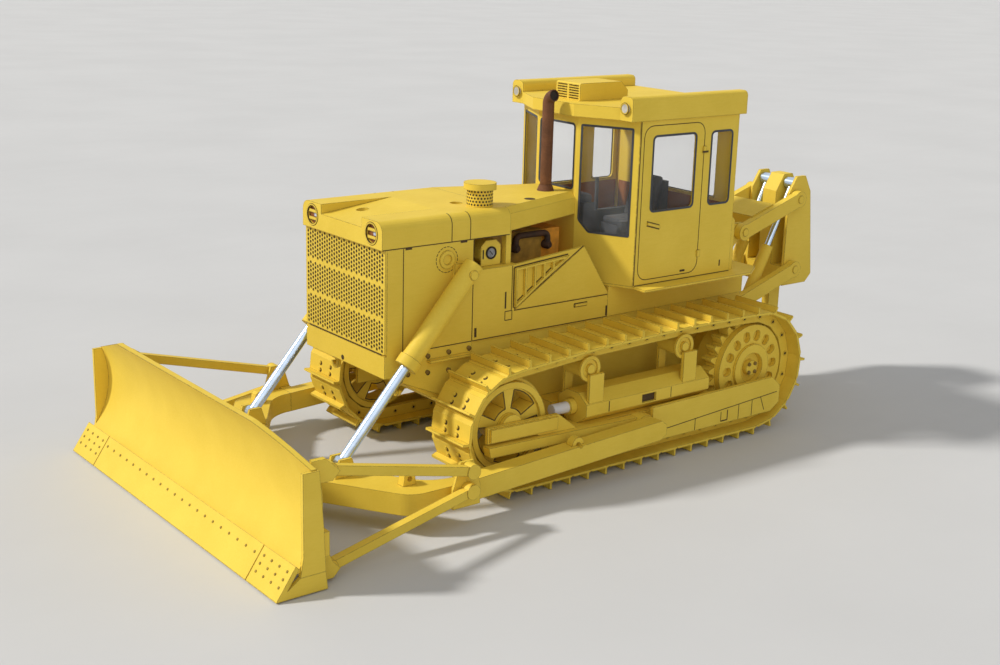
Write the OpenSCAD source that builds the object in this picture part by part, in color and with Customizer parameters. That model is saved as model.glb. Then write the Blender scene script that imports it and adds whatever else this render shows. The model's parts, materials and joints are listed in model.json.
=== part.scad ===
// Card scale model of a crawler bulldozer with an angle blade and a rear ripper.
// Millimetres, +X to the blade, +Y to the machine's left, +Z up, tracks on z = 0.
// Stations along X are first measured from the middle of the track wheels.

/* [Whole model] */
// Tip of the cutting edge ahead of the middle of the tracks
tip_x = 153.3; // [130:0.1:175]
// Lower rear corner of the ripper post behind the middle of the tracks
post_rear = 124.9; // [112:0.1:134]
// Thickness of the card panels
card_t = 0.8; // [0.5:0.1:1.5]
// Small raised step of ribs and rims
step_t = 0.5; // [0.2:0.1:1]
// Gap left between pieces that move past each other
run_gap = 0.3; // [0.2:0.05:0.6]
// Radial clearance of a pin in its bore
pin_play = 0.06; // [0.02:0.01:0.1]

/* [Tracks] */
// Distance between the two track centre lines
track_gauge = 75.2; // [60:0.1:90]
// Width of a track shoe
shoe_w = 20; // [12:0.5:24]
// Idler axle ahead of the middle
idler_x = 54; // [45:0.1:60]
// Sprocket axle behind the middle
sprocket_x = 56.6; // [45:0.1:60]
// Radius of the chain's seat on the sprocket
sprocket_r = 16.8; // [12:0.1:20]
// Radius of the chain's seat on the idler
idler_r = 15.3; // [12:0.1:20]
// Radius of the carrier rollers
carrier_r = 3.6; // [2:0.1:5]
// Height of the link rails
link_h = 4; // [2:0.1:6]
// Width of one link rail
rail_w = 2; // [1:0.1:4]
// Centre of a link rail out from the track's centre line
rail_out = 3.6; // [2:0.1:6]
// Thickness of a shoe plate
shoe_t = 0.9; // [0.5:0.1:2]
// Height of the grouser on a shoe
grouser_h = 2.3; // [1:0.1:4]
// Slope of the grouser's tip
tip_slope = 0.12; // [0.06:0.01:0.4]
// Thickness of the grouser
grouser_t = 0.8; // [0.4:0.1:2]
// Depth of the joint line between two shoes
shoe_groove = 0.5; // [0.2:0.1:0.8]
// Number of shoes in one track
shoe_count = 42; // [34:1:50]
// Station of the front carrier roller
carrier_f_x = 21.6; // [10:0.1:30]
// Height of the front carrier roller's axle
carrier_f_z = 36.6; // [34:0.1:40]
// Station of the rear carrier roller
carrier_b_x = -21.4; // [-30:0.1:-10]
// Height of the rear carrier roller's axle
carrier_b_z = 37.6; // [34:0.1:40]
// Radius of the bottom rollers
roller_r = 4.1; // [3:0.1:5]
// Number of bottom rollers on a side
roller_count = 6; // [4:1:8]
// Station of the first bottom roller
roller_f_x = 31; // [20:0.5:36]
// Station of the last bottom roller
roller_b_x = -33; // [-40:0.5:-20]

// Rise of the lower run between the wheels, so that it stands on its ends
belly_lift = 0.1; // [0:0.01:0.14]
// Number of spokes in an idler
spoke_count = 5; // [3:1:8]

/* [Track frames] */
// Front end of the frame channel
channel_f = 36; // [25:0.5:38]
// Rear end of the frame channel
channel_b = -38; // [-40:0.5:-25]
// Half the width of the frame channel
channel_hw = 5.9; // [5:0.1:8]
// Underside of the frame channel
channel_z0 = 9; // [7.5:0.1:11]
// Top of the frame channel
channel_z1 = 17.6; // [16:0.1:22]
// Outer face of the side guard
guard_y = 47.3; // [44:0.1:48]
// Front end of the side guard
guard_f = -4; // [-12:0.5:0]
// Rear end of the side guard
guard_b = -68; // [-75:0.5:-55]
// Underside of the side guard
guard_z0 = 7.4; // [6:0.1:10]
// Top of the side guard
guard_z1 = 19.6; // [15:0.1:24]
// Half the height of the eight sided recoil housing
recoil_r = 5.2; // [3:0.1:6]
// Height of the recoil housing's axis
recoil_z = 22.8; // [20:0.1:26]
// Front end of the recoil housing
recoil_f = 24; // [5:0.5:26]
// Rear end of the recoil housing
recoil_b = -33; // [-38:0.5:-20]
// Radius of the recoil rod
recoil_rod_r = 1.9; // [1:0.1:3]
// Front end of the recoil rod
recoil_rod_f = 33; // [28:0.5:36]
// Front end of the rod's sleeve
sleeve_f = 26.5; // [20:0.5:30]
// Front end of the slot in the recoil housing
slot_f = -1; // [-10:0.5:5]
// Length of that slot
slot_l = 6.4; // [3:0.1:10]

/* [Main frame] */
// Outer face of the hood's side panels from the middle
panel_y = 23.4; // [18:0.1:27]
// Foot of the hood's side panels
panel_z0 = 46.4; // [40:0.1:52]
// Underside of the main frame
hull_z0 = 22; // [18:0.1:28]
// Rear end of the main frame
hull_b = -70; // [-75:0.5:-60]
// Where the frame's belly begins to rise at the front
belly_f = 58; // [45:0.5:65]
// Height of the frame's nose underside
nose_z = 36.8; // [30:0.1:42]
// Width of the cross beam on the track frames
beam_l = 10; // [6:0.5:18]
// Station of the cross beam
beam_x = 22; // [18:0.5:30]
// Height of the ledge on the frame's side
ledge_z = 42.2; // [38:0.1:45]
// Reach of that ledge from the side plate
ledge_y = 2; // [0.5:0.1:3]
// Ledge's front end
ledge_f = 73; // [65:0.5:80]
// Ledge's rear end
ledge_b = 55.5; // [50:0.5:60]
// Radius of the final drive housings
drive_r = 12; // [8:0.5:14]

/* [Radiator and hood] */
// Front face of the grille
grille_x = 89; // [80:0.1:95]
// Seam between the radiator housing and the side panels
seam_x = 82.3; // [75:0.1:86]
// Lower edge of the front panel under the grille
front_z0 = 39.1; // [35:0.1:44]
// Lower edge of the grille
grille_z0 = 46.9; // [42:0.1:52]
// Lower edge of the hood and top of the grille
hood_z0 = 79.8; // [72:0.1:84]
// Top of the hood
hood_z1 = 88.4; // [84:0.1:94]
// Front face of the hood
hood_f = 90.1; // [86:0.1:95]
// Step between the front hood and the rear hood
hood_step = 41; // [35:0.1:50]
// Radius of the hood's upper edges
hood_edge_r = 3.2; // [1:0.1:5]
// Half the width of the dished scoop between the lamps
scoop_hw = 12; // [6:0.1:15]
// Depth of that scoop at the front
scoop_d = 3.2; // [1:0.1:4]
// Length of that scoop
scoop_l = 27; // [15:0.5:40]
// Half the width of the rear hood at the cab
hood_cab_hw = 10.6; // [8:0.1:14]
// Lower edge of the rear hood
hood_rear_z0 = 80.8; // [78:0.1:84]
// Chamfer along the rear hood's upper edges
hood_chamfer = 2; // [0.5:0.1:3]
// Lamp centre from the middle
lamp_y = 17.4; // [14:0.1:20]
// Lamp centre height
lamp_z = 84.2; // [80:0.1:87]
// Radius of the front lamps
lamp_r = 3; // [1.5:0.1:3.4]
// Columns of holes across the grille
hole_cols = 31; // [12:1:34]
// Rows of holes in one grille band
hole_rows = 7; // [3:1:8]
// Radius of a grille hole
hole_r = 0.5; // [0.2:0.01:0.6]
// Bands in the grille
band_count = 3; // [1:1:4]

/* [Side panels and engine] */
// Rear edge of the front side panel
side_b = 55.5; // [50:0.1:60]
// Top of the fender panel at its front
fender_z1 = 69.6; // [64:0.1:74]
// Station where the fender's top begins to rise
fender_x1 = 39.6; // [30:0.1:45]
// Station of the fender's top rear corner
fender_x2 = 9.3; // [5:0.1:16]
// Height of the fender's top rear corner
fender_z2 = 72.6; // [68:0.1:76]
// Station of the fender's lower rear corner
fender_x3 = -2.6; // [-6:0.1:2]
// Height of the seam along the fender
fender_z3 = 54.6; // [50:0.1:58]
// Width of the flanges and posts by the fender
rib_w = 2.2; // [1:0.1:4]
// Width of the strips of the fender's raised triangle
tri_w = 0.8; // [0.4:0.1:1.4]
// Front end of the engine block
engine_f = 52; // [40:0.5:54]
// Rear end of the engine block
engine_b = 10; // [5:0.5:20]
// Half the width of the engine block
engine_hw = 11; // [7:0.5:16]
// Top of the engine block
engine_z1 = 77; // [70:0.5:80]
// Front end of the manifold
manifold_f = 30; // [25:0.5:35]
// Height of the manifold
manifold_z = 73.6; // [70:0.1:76]
// Radius of the manifold
manifold_r = 2; // [1:0.1:3]
// Middle of the gauge box along the engine
gauge_x = 46.4; // [42:0.1:50]
// Height of the middle of the gauge box
gauge_z = 73.9; // [70:0.1:76]
// Half the length and height of the gauge box
gauge_hs = 4.5; // [3:0.1:6]
// Outer face of the gauge box
gauge_y = 20; // [16:0.1:22]
// Radius of the dial
dial_r = 1.6; // [0.8:0.1:3]

/* [Stack and air cleaner] */
// Station of the exhaust stack
stack_x = 10; // [6:0.1:16]
// Stack's offset to the left
stack_y = 3; // [0:0.1:6]
// Radius of the exhaust stack
stack_r = 2; // [1:0.1:3]
// Height of the straight part of the stack above the hood
stack_h = 29.5; // [20:0.1:36]
// Radius of the bend at the stack's top
stack_bend = 3; // [2.2:0.1:5]
// Station of the air cleaner
cleaner_x = 47; // [43:0.1:60]
// Air cleaner's offset to the left
cleaner_y = 14.6; // [8:0.1:18]
// Radius of the air cleaner's body
cleaner_r = 4.2; // [2:0.1:6]
// Radius of its cap
cleaner_cap_r = 5.3; // [3:0.1:7]
// Height of its body
cleaner_h = 6; // [3:0.1:9]

/* [Cab] */
// Front wall of the cab at the middle
cab_f = 3; // [0:0.1:6]
// Half the width of the middle front wall
cab_mid_hw = 10.6; // [8:0.1:14]
// Station where the slanting front walls meet the sides
cab_corner_x = -7; // [-12:0.1:-3]
// Half the width of the cab
cab_hw = 31; // [26:0.1:34]
// Rear wall of the cab
cab_b = -54; // [-60:0.1:-48]
// Underside of the cab's walls
cab_z0 = 57.9; // [54:0.1:62]
// Top of the cab's walls
cab_z1 = 114.3; // [105:0.1:118]
// Thickness of the cab's walls
wall_t = 0.9; // [0.5:0.1:1.5]
// Sill height of the side windows
side_sill = 83.3; // [76:0.1:90]
// Head height of the side windows
side_head = 108.9; // [100:0.1:112]
// Front edge of the door window
door_win_f = -13.1; // [-16:0.1:-9]
// Rear edge of the door window
door_win_b = -33.3; // [-36:0.1:-28]
// Front edge of the rear side window
rear_win_f = -40.8; // [-43:0.1:-38]
// Rear edge of the rear side window
rear_win_b = -51.1; // [-53:0.1:-48]
// Sill height of the slanting front windows
front_sill = 75; // [70:0.1:84]
// Head height of the front windows
front_head = 111.4; // [105:0.1:113]
// Cut across the lower inner corner of the slanting windows
win_cut = 4; // [1:0.1:8]
// Post left beside a front window
post_w = 1.5; // [0.8:0.1:3]
// Rounding of the window corners
win_r = 1.8; // [0.5:0.1:4]
// Half the width of the rear window
back_win_hw = 22; // [12:0.5:28]
// Depth of the swelling on the lower rear wall
bulge_d = 2.5; // [1:0.1:4]
// Top of that swelling
bulge_z1 = 78.6; // [70:0.1:82]
// Front edge of the door
door_f = -8.6; // [-10:0.1:-7.5]
// Rear edge of the door
door_b = -37.4; // [-40:0.1:-34]
// Width of the deck's steps beside the cab
step_w = 6; // [2:0.1:10]
// Rear end of the deck
deck_b = -68; // [-75:0.5:-60]
// Thickness of the glazing film
film_t = 0.3; // [0.2:0.05:0.5]

/* [Roof] */
// Reach of the roof past the cab's sides
roof_eave = 0.8; // [0:0.1:3]
// Rear edge of the roof
roof_b = -56.6; // [-62:0.1:-50]
// Front edge of the roof at its sides
roof_side_f = -2; // [-6:0.1:2]
// Front edge of the roof at its middle
roof_f = 5.4; // [2:0.1:9]
// Half the width of the roof's straight front edge
roof_front_hw = 11; // [6:0.1:16]
// Height of the roof panel
roof_h = 4.2; // [2:0.1:6]
// Height of the roof's side rails over the panel
rail_h = 3.9; // [2:0.1:6]
// Width of the roof's side rails
roof_rail_w = 6; // [3:0.1:9]
// Half the width of the roof vent
vent_hw = 6.3; // [4:0.1:10]
// Front face of the roof vent
vent_f = -1; // [-6:0.1:3]
// Length of the roof vent
vent_l = 22; // [12:0.5:30]
// Height of the roof vent
vent_h = 6; // [3:0.1:8]
// Louvres in one column of the vent
louvre_count = 6; // [3:1:9]
// Radius of the roof lamps
roof_lamp_r = 1.6; // [0.8:0.1:2.4]

/* [Blade frame] */
// Station of the push frame's pivot
pivot_x = 0.5; // [-5:0.1:6]
// Height of the push frame's pivot
pivot_z = 14.2; // [10:0.1:18]
// Radius of the pivot pins
pivot_r = 2.4; // [1:0.1:4]
// Inner face of the push beams
push_y0 = 48.8; // [48.2:0.1:54]
// Width of the push beams
push_w = 6; // [3:0.1:9]
// Height of the push frame's box section
push_h = 6.8; // [3:0.1:9]
// Underside of the push frame at the front
push_z0 = 6.8; // [5:0.1:12]
// Width of the front legs
leg_w = 12.4; // [6:0.1:16]
// Distance from the blade's back to where the legs' centre lines would meet
apex_set = 8.4; // [4:0.1:16]
// Distance from there back to where a leg meets its beam
corner_set = 33.6; // [24:0.1:44]
// Radius of the frame's bend on its inner side
bend_in_r = 14; // [6:0.5:20]
// Radius of the frame's bend on its outer side
bend_out_r = 9; // [4:0.5:20]
// Distance of the lift rod's eye behind the legs' meeting point
eye_set = 20; // [14:0.1:26]
// Height of the lift rod's eye
eye_z = 17.2; // [16:0.1:24]
// Distance of the lift cylinders from the middle
lift_y = 28.2; // [27:0.1:34]
// Radius of the lift rod's eye
eye_r = 2.1; // [1.5:0.1:3]
// Width of the lift rod's eye
eye_w = 3; // [2:0.1:5]
// Distance of the strut bracket behind the corner of beam and leg
bracket_set = 12; // [6:0.1:20]
// Distance of the struts' rear eyes from the middle
strut_y0 = 59.6; // [57:0.1:64]
// Distance of the struts' blade eyes in from the blade's ends
strut_in = 6.6; // [4:0.1:12]
// Height of the upper strut's rear eye
strut_up_z0 = 19.4; // [17:0.1:24]
// Height of the upper strut's blade eye
strut_up_z1 = 32; // [26:0.1:38]
// Height of the lower strut's rear eye
strut_low_z0 = 13; // [10:0.1:16]
// Height of the lower strut's blade eye
strut_low_z1 = 3.4; // [3:0.1:10]
// Distance of the struts' blade eyes behind the curved face
strut_set = 6.6; // [4:0.1:10]
// Side of the square struts
strut_s = 2.8; // [1.5:0.1:3.4]
// Rear lug on the beam, ahead of the pivot
boss_set = 34; // [20:0.5:60]

/* [Blade] */
// Half the width of the blade
blade_hw = 69.6; // [55:0.1:80]
// Top of the blade at its middle
blade_z1 = 43; // [35:0.1:52]
// Top of the blade at its ends
blade_end_z1 = 35; // [30:0.1:43]
// Width of the sloping shoulder at each end
shoulder_w = 25; // [10:0.5:35]
// Depth of the curved face behind the cutting edge's tip
blade_set = 13.3; // [9:0.1:18]
// Radius of the curved face
blade_r = 27.5; // [20:0.5:60]
// Height of the curve's centre
blade_cz = 25; // [18:0.5:30]
// Thickness of the mouldboard
blade_t = 1.6; // [0.8:0.1:3]
// Reach of the end plates ahead of the curved face
end_reach = 4.8; // [2:0.1:8]
// Thickness of the end plates
end_t = 1.2; // [0.6:0.1:3]
// Lower edge of the mouldboard
blade_z0 = 6.8; // [4:0.1:9]
// Height of the cutting edge over the ground at rest
tip_z = 0.35; // [0.3:0.05:3]
// Top of the cutting edge plate
knife_z1 = 9.4; // [6:0.1:13]
// Lower edge of the end plates, over the end bits' cheeks
cheek_z = 5.6; // [3:0.1:8]
// Thickness of the cutting edge plate
knife_t = 1.1; // [0.6:0.1:2]
// Width of an end bit
bit_w = 17; // [8:0.5:24]
// Gap between the cutting edge's sections
knife_gap = 0.4; // [0.2:0.1:1]

/* [Lift cylinders] */
// Station of the trunnion
trunnion_x = 61.2; // [56:0.1:66]
// Height of the trunnion
trunnion_z = 70.4; // [64:0.1:76]
// Radius of the trunnion pin
trunnion_r = 1.5; // [0.8:0.1:2]
// Radius of the barrel
barrel_r = 3.2; // [2:0.1:4]
// Length of the barrel below the trunnion
barrel_l = 35.6; // [28:0.1:42]
// Length of the barrel above the trunnion
barrel_back = 3.6; // [2:0.1:8]
// Radius of the rod
rod_r = 1.7; // [1:0.1:2.4]
// Distance from the trunnion to the rod's inner end
rod_in = 22.4; // [16:0.1:28]
// Length of the gland collar
gland_l = 3.4; // [1:0.1:6]
// Step of the gland collar
gland_t = 0.5; // [0.2:0.1:0.8]

/* [Ripper] */
// Station of the front pivots on the support
link_x = -81; // [-86:0.1:-78]
// Height of the lower front pivot
low_z = 38; // [32:0.1:44]
// Height of the upper front pivot
up_z = 66; // [60:0.1:72]
// Length of the links between their pivots
link_l = 32; // [26:0.1:38]
// Angle of the links over level at rest
link_a = 18; // [0:0.5:25]
// Radius of the ripper's pins
rip_pin_r = 1.5; // [0.8:0.1:2]
// Radius of the links' round ends
link_r = 3.2; // [2:0.1:4.5]
// Outer face of the support's and the post's plates
plate_y = 10.2; // [8:0.1:13]
// Thickness of those plates
plate_t = 1.3; // [0.8:0.1:2]
// Width of one link arm
arm_w = 3; // [2:0.1:5]
// Ripper cylinders from the middle
rip_y = 6.3; // [5:0.1:8]
// Radius of the ripper barrels
rip_barrel_r = 2.3; // [1.5:0.1:2.6]
// Radius of the ripper rods
rip_rod_r = 1.2; // [0.8:0.1:1.8]
// Station of the ripper cylinders' foot
foot_x = -87.2; // [-92:0.1:-84]
// Height of the ripper cylinders' foot
foot_z = 27.4; // [24:0.1:32]
// Station of the ripper rods' eyes
top_x = -113.9; // [-118:0.1:-110]
// Height of the ripper rods' eyes
top_z = 81.1; // [76:0.1:86]
// Length of the ripper barrel above its foot pin
rip_barrel_l = 33.4; // [28:0.1:38]
// Length of the ripper rod from its eye to its inner end
rip_rod_l = 32; // [28:0.1:40]
// Front edge of the post's plates
post_f = -108.2; // [-110:0.1:-104]
// Lean of the post's rear edge
post_lean = 4.3; // [0:0.1:6]
// Underside of the post
post_z0 = 41; // [36:0.1:46]
// Top of the post
post_z1 = 84.4; // [80:0.1:88]
// Half the thickness of the post's middle web
web_hw = 3.4; // [2:0.1:3.8]
// Half the thickness of the shank
shank_hw = 1.8; // [1:0.1:3]
// Height of the shank's tip
shank_z0 = 13; // [6:0.1:24]
// Reach of the shank's tip ahead of the post's front edge
shank_tip = 4; // [0:0.1:8]

/* [Small parts] */
// Radius of the filler holes in the hood's top
hood_hole_r = 2; // [1:0.1:3]
// Radius of a tow hook
hook_r = 2.2; // [1:0.1:4]
// Thickness of a tow hook
hook_t = 1.2; // [0.6:0.1:2.4]
// Distance of a tow hook from the middle
hook_y = 18; // [8:0.1:20]
// Radius of the ring boss on the side panel
ring_r = 2.9; // [1:0.1:4]
// Height of a door hinge
hinge_h = 2.4; // [1:0.1:4]
// Height of the door handle
handle_h = 3.4; // [2:0.1:5]
// Lap of the glazing film on the walls
lap = 0.7; // [0.3:0.1:1]
// Middle of the seat
seat_x = -34; // [-40:0.5:-26]
// Width and length of the seat
seat_w = 16; // [10:0.5:20]
// Height of the seat's cushion
seat_z = 72; // [66:0.5:76]
// Thickness of the seat's back
seat_t = 4; // [2:0.1:6]
// Rear face of the dash
dash_x = -6; // [-10:0.5:-5]
// Depth of the dash
dash_l = 5; // [3:0.1:7]
// Top of the dash
dash_z = 84; // [76:0.5:88]
// Radius of a control lever
lever_r = 0.7; // [0.4:0.1:1.2]
// Half the size of the lift cylinders' brackets
bracket_hs = 2.6; // [2:0.1:4]
// Thickness of ears and lugs
ear_t = 1.1; // [0.6:0.1:2]
// Half the width of a clevis ear
ear_hw = 3; // [2:0.1:4]
// Half the width of the push frame's nose block
apex_hw = 5; // [3:0.1:8]
// Half the length of the strut bracket
bracket_l = 5; // [3:0.1:7]
// Width of a strut's eye
strut_w = 3.6; // [3.5:0.1:5]
// Radius of a strut's eye
strut_eye_r = 2.4; // [1.8:0.1:3]
// Radius of the hole in a spare lug
pin_hole = 0.8; // [0.5:0.1:1.2]
// Width of a spare lug
lug_w = 3; // [2:0.1:5]
// Depth of the box beams on the blade's back
beam_t = 2.4; // [1.5:0.1:3]
// Width of the ripper's shank
shank_w = 6; // [4:0.1:7]

/* [Sub-part] */
// Sub-part to show

/* [Hidden] */
$fn = 48;
x_mid = (tip_x - post_rear) / 2;
yellow = [0.86, 0.66, 0.12];
dark = [0.12, 0.11, 0.1];
brown = [0.3, 0.18, 0.12];
chrome = [0.8, 0.82, 0.85];
clear = [0.8, 0.88, 0.9, 0.35];
white = [0.92, 0.9, 0.86];
grey = [0.4, 0.4, 0.42];
track_y = track_gauge / 2;
sprocket_z = sprocket_r + link_h + shoe_t + grouser_h;
idler_z = idler_r + link_h + shoe_t + grouser_h;
roller_z = link_h + shoe_t + grouser_h + roller_r;
half_link = link_h / 2;
big = 4 * tip_x;

// Box between two corners.
module slab(x0, x1, y0, y1, z0, z1) {
  translate([x0, y0, z0]) cube([x1 - x0, y1 - y0, z1 - z0]);
}
// Outline in X and Z, from y0 to y1.
module side(pts, y0, y1) {
  translate([0, y1, 0]) rotate([90, 0, 0]) linear_extrude(y1 - y0) polygon(pts);
}
// Outline in Y and Z, from x0 to x1.
module across(pts, x0, x1) {
  translate([x0, 0, 0]) rotate([90, 0, 90]) linear_extrude(x1 - x0) polygon(pts);
}
// Outline in X and Y, from z0 to z1.
module plan(pts, z0, z1) {
  translate([0, 0, z0]) linear_extrude(z1 - z0) polygon(pts);
}
// Round bars along the three axes.
module ybar(x, z, y0, y1, r) {
  translate([x, y1, z]) rotate([90, 0, 0]) cylinder(h = y1 - y0, r = r);
}
module xbar(y, z, x0, x1, r) {
  translate([x0, y, z]) rotate([0, 90, 0]) cylinder(h = x1 - x0, r = r);
}
module zbar(x, y, z0, z1, r) {
  translate([x, y, z0]) cylinder(h = z1 - z0, r = r);
}
// Both sides of the machine.
module both() {
  children();
  mirror([0, 1, 0]) children();
}
// Local Z turned from upright into the X-Z direction that rises by a degrees from +X.
module lean(x, y, z, a) {
  translate([x, y, z]) rotate([0, 90 - a, 0]) children();
}
// Rounded rectangle as a list of points.
function round_box(x0, x1, y0, y1, r) = [
  for (c = [[x1 - r, y0 + r, -90], [x1 - r, y1 - r, 0], [x0 + r, y1 - r, 90], [x0 + r, y0 + r, 180]])
    for (i = [0 : 4]) [c[0] + r * cos(c[2] + i * 22.5), c[1] + r * sin(c[2] + i * 22.5)]
];

// The chain's path runs counter-clockwise round these wheels: x, z and radius.
wheels = [
  [-sprocket_x, sprocket_z, sprocket_r + half_link],
  [idler_x, idler_z, idler_r + half_link],
  [carrier_f_x, carrier_f_z, carrier_r + half_link],
  [carrier_b_x, carrier_b_z, carrier_r + half_link]
];
wheel_n = len(wheels);
function nxt(i) = (i + 1) % wheel_n;
function wheel_span(i) = norm([wheels[nxt(i)][0] - wheels[i][0], wheels[nxt(i)][1] - wheels[i][1]]);
function wheel_head(i) = atan2(wheels[nxt(i)][1] - wheels[i][1], wheels[nxt(i)][0] - wheels[i][0]);
function wheel_drop(i) = wheels[i][2] - wheels[nxt(i)][2];
function leave_a(i) = wheel_head(i) - acos(wheel_drop(i) / wheel_span(i));
function run_len(i) = sqrt(pow(wheel_span(i), 2) - pow(wheel_drop(i), 2));
function turn_a(i) = let (a = leave_a(nxt(i)) - leave_a(i)) a - 360 * floor(a / 360);
function part_len(i) = run_len(i) + wheels[nxt(i)][2] * turn_a(i) * PI / 180;
part_start = [for (i = 0, s = 0; i < wheel_n; s = s + part_len(i), i = i + 1) s];
path_len = part_start[wheel_n - 1] + part_len(wheel_n - 1);
function on_wheel(w, a) = [w[0] + w[2] * cos(a), w[1] + w[2] * sin(a)];
function on_path(s) =
  let (i = max([for (k = [0 : wheel_n - 1]) if (part_start[k] <= s) k]))
  let (u = s - part_start[i])
  let (a = leave_a(i))
  let (w = wheels[nxt(i)])
  u <= run_len(i)
    ? on_wheel(wheels[i], a) + u * [-sin(a), cos(a)]
      + [0, i == 0 ? belly_lift * sin(180 * u / run_len(i)) : 0]
    : on_wheel(w, a + (u - run_len(i)) / w[2] * 180 / PI);
pins = [for (i = [0 : shoe_count - 1]) on_path(path_len * i / shoe_count)];
// Points fixed to shoe i: each row of spots is a share along the shoe and a reach outward.
function on_shoe(i, spots) =
  let (p = pins[i])
  let (q = pins[(i + 1) % shoe_count])
  let (d = (q - p) / norm(q - p))
  [for (s = spots) p + d * (s[0] * norm(q - p)) + [d[1], -d[0]] * s[1]];
grouser_share = grouser_t * shoe_count / path_len;
edge_share = 0.06;
foot_share = 2 * edge_share;
shoe_out = half_link + shoe_t;
shoe_spots = [
  [0, shoe_out - shoe_groove],
  [edge_share, shoe_out],
  [foot_share, shoe_out],
  [foot_share, shoe_out + grouser_h],
  [foot_share + grouser_share, shoe_out + grouser_h - tip_slope],
  [foot_share + grouser_share, shoe_out],
  [1 - edge_share, shoe_out]
];
function loop_of(spots) = [for (i = [0 : shoe_count - 1]) each on_shoe(i, spots)];
rail_in = [[foot_share, -half_link], [1 - foot_share, -half_link]];

module track() {
  translate([0, track_y + shoe_w / 2, 0])
    rotate([90, 0, 0])
      linear_extrude(shoe_w)
        difference() {
          polygon(loop_of(shoe_spots));
          polygon(loop_of([[0, half_link]]));
        }
  for (side_y = [-rail_out, rail_out])
    translate([0, track_y + side_y + rail_w / 2, 0])
      rotate([90, 0, 0])
        linear_extrude(rail_w)
          difference() {
            polygon(loop_of([[0, half_link + shoe_t / 4]]));
            polygon(loop_of(rail_in));
          }
}
module left_track() {
  color(yellow) track();
}
module right_track() {
  color(yellow) mirror([0, 1, 0]) track();
}

// Sprocket: toothed ring, disc with a ring of pockets, recessed hub and cap.
tooth_count = 26;
tooth_r0 = sprocket_r - step_t;
tooth_r1 = sprocket_r + half_link;
tooth_hw = rail_out - rail_w / 2 - run_gap;
disc_r = sprocket_r - step_t - shoe_t / 2;
disc_y = track_y + rail_out + rail_w / 2;
hub_r = disc_r * 0.55;
boss_ring = disc_r * 0.72;
boss_r = disc_r * 0.1;
boss_count = 14;
drive_y = track_y - channel_hw - 2 * shoe_t;
module sprocket() {
  difference() {
    union() {
      ybar(-sprocket_x, sprocket_z, drive_y, disc_y, disc_r);
      ybar(-sprocket_x, sprocket_z, disc_y - shoe_t, disc_y + 2 * step_t, hub_r);
      side(
        [for (i = [0 : 4 * tooth_count - 1])
          let (r = i % 4 < 2 ? tooth_r1 : tooth_r0)
          [-sprocket_x + r * cos(i * 90 / tooth_count), sprocket_z + r * sin(i * 90 / tooth_count)]],
        track_y - tooth_hw, track_y + tooth_hw);
    }
    ybar(-sprocket_x, sprocket_z, disc_y - shoe_t, disc_y + shoe_t + step_t, hub_r * 0.64);
    for (i = [0 : boss_count - 1])
      for (r = [boss_ring, boss_ring + boss_r / 2])
        ybar(-sprocket_x + r * cos(i * 360 / boss_count), sprocket_z + r * sin(i * 360 / boss_count),
          disc_y - 2 * shoe_t, disc_y + step_t, boss_r);
  }
  ybar(-sprocket_x, sprocket_z, disc_y - 2 * shoe_t, disc_y + 2 * step_t, hub_r * 0.32);
}
module sprockets() {
  color(yellow) both() sprocket();
}

// Idler: rim with a middle flange, a web with openings between its spokes, and hub.
idler_rim = idler_r - shoe_t / 1.5;
idler_hw = rail_out + rail_w / 2;
spoke_r0 = idler_rim * 0.42;
spoke_r1 = idler_rim * 0.8;
spoke_a = 360 / spoke_count;
function web_arc(k, r, d) = [for (i = [0 : 6])
  let (a = 90 + spoke_a * (k + 0.5 + d * (0.34 - 0.68 * i / 6)))
  [idler_x + r * cos(a), idler_z + r * sin(a)]];
module idler() {
  difference() {
    union() {
      ybar(idler_x, idler_z, track_y - idler_hw, track_y + idler_hw, idler_rim);
      ybar(idler_x, idler_z, track_y - tooth_hw, track_y + tooth_hw, idler_r + step_t);
    }
    for (k = [-1, 1])
      ybar(idler_x, idler_z, track_y + k * idler_hw - rail_w / 2, track_y + k * idler_hw + rail_w / 2,
        idler_rim * 0.86);
    for (k = [0 : spoke_count - 1])
      side(concat(web_arc(k, spoke_r1, 1), web_arc(k, spoke_r0, -1)),
        track_y - 2 * idler_hw, track_y + 2 * idler_hw);
  }
  ybar(idler_x, idler_z, track_y - idler_hw, track_y + idler_hw, idler_rim * 0.3);
}
module idlers() {
  color(yellow) both() idler();
}

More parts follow.
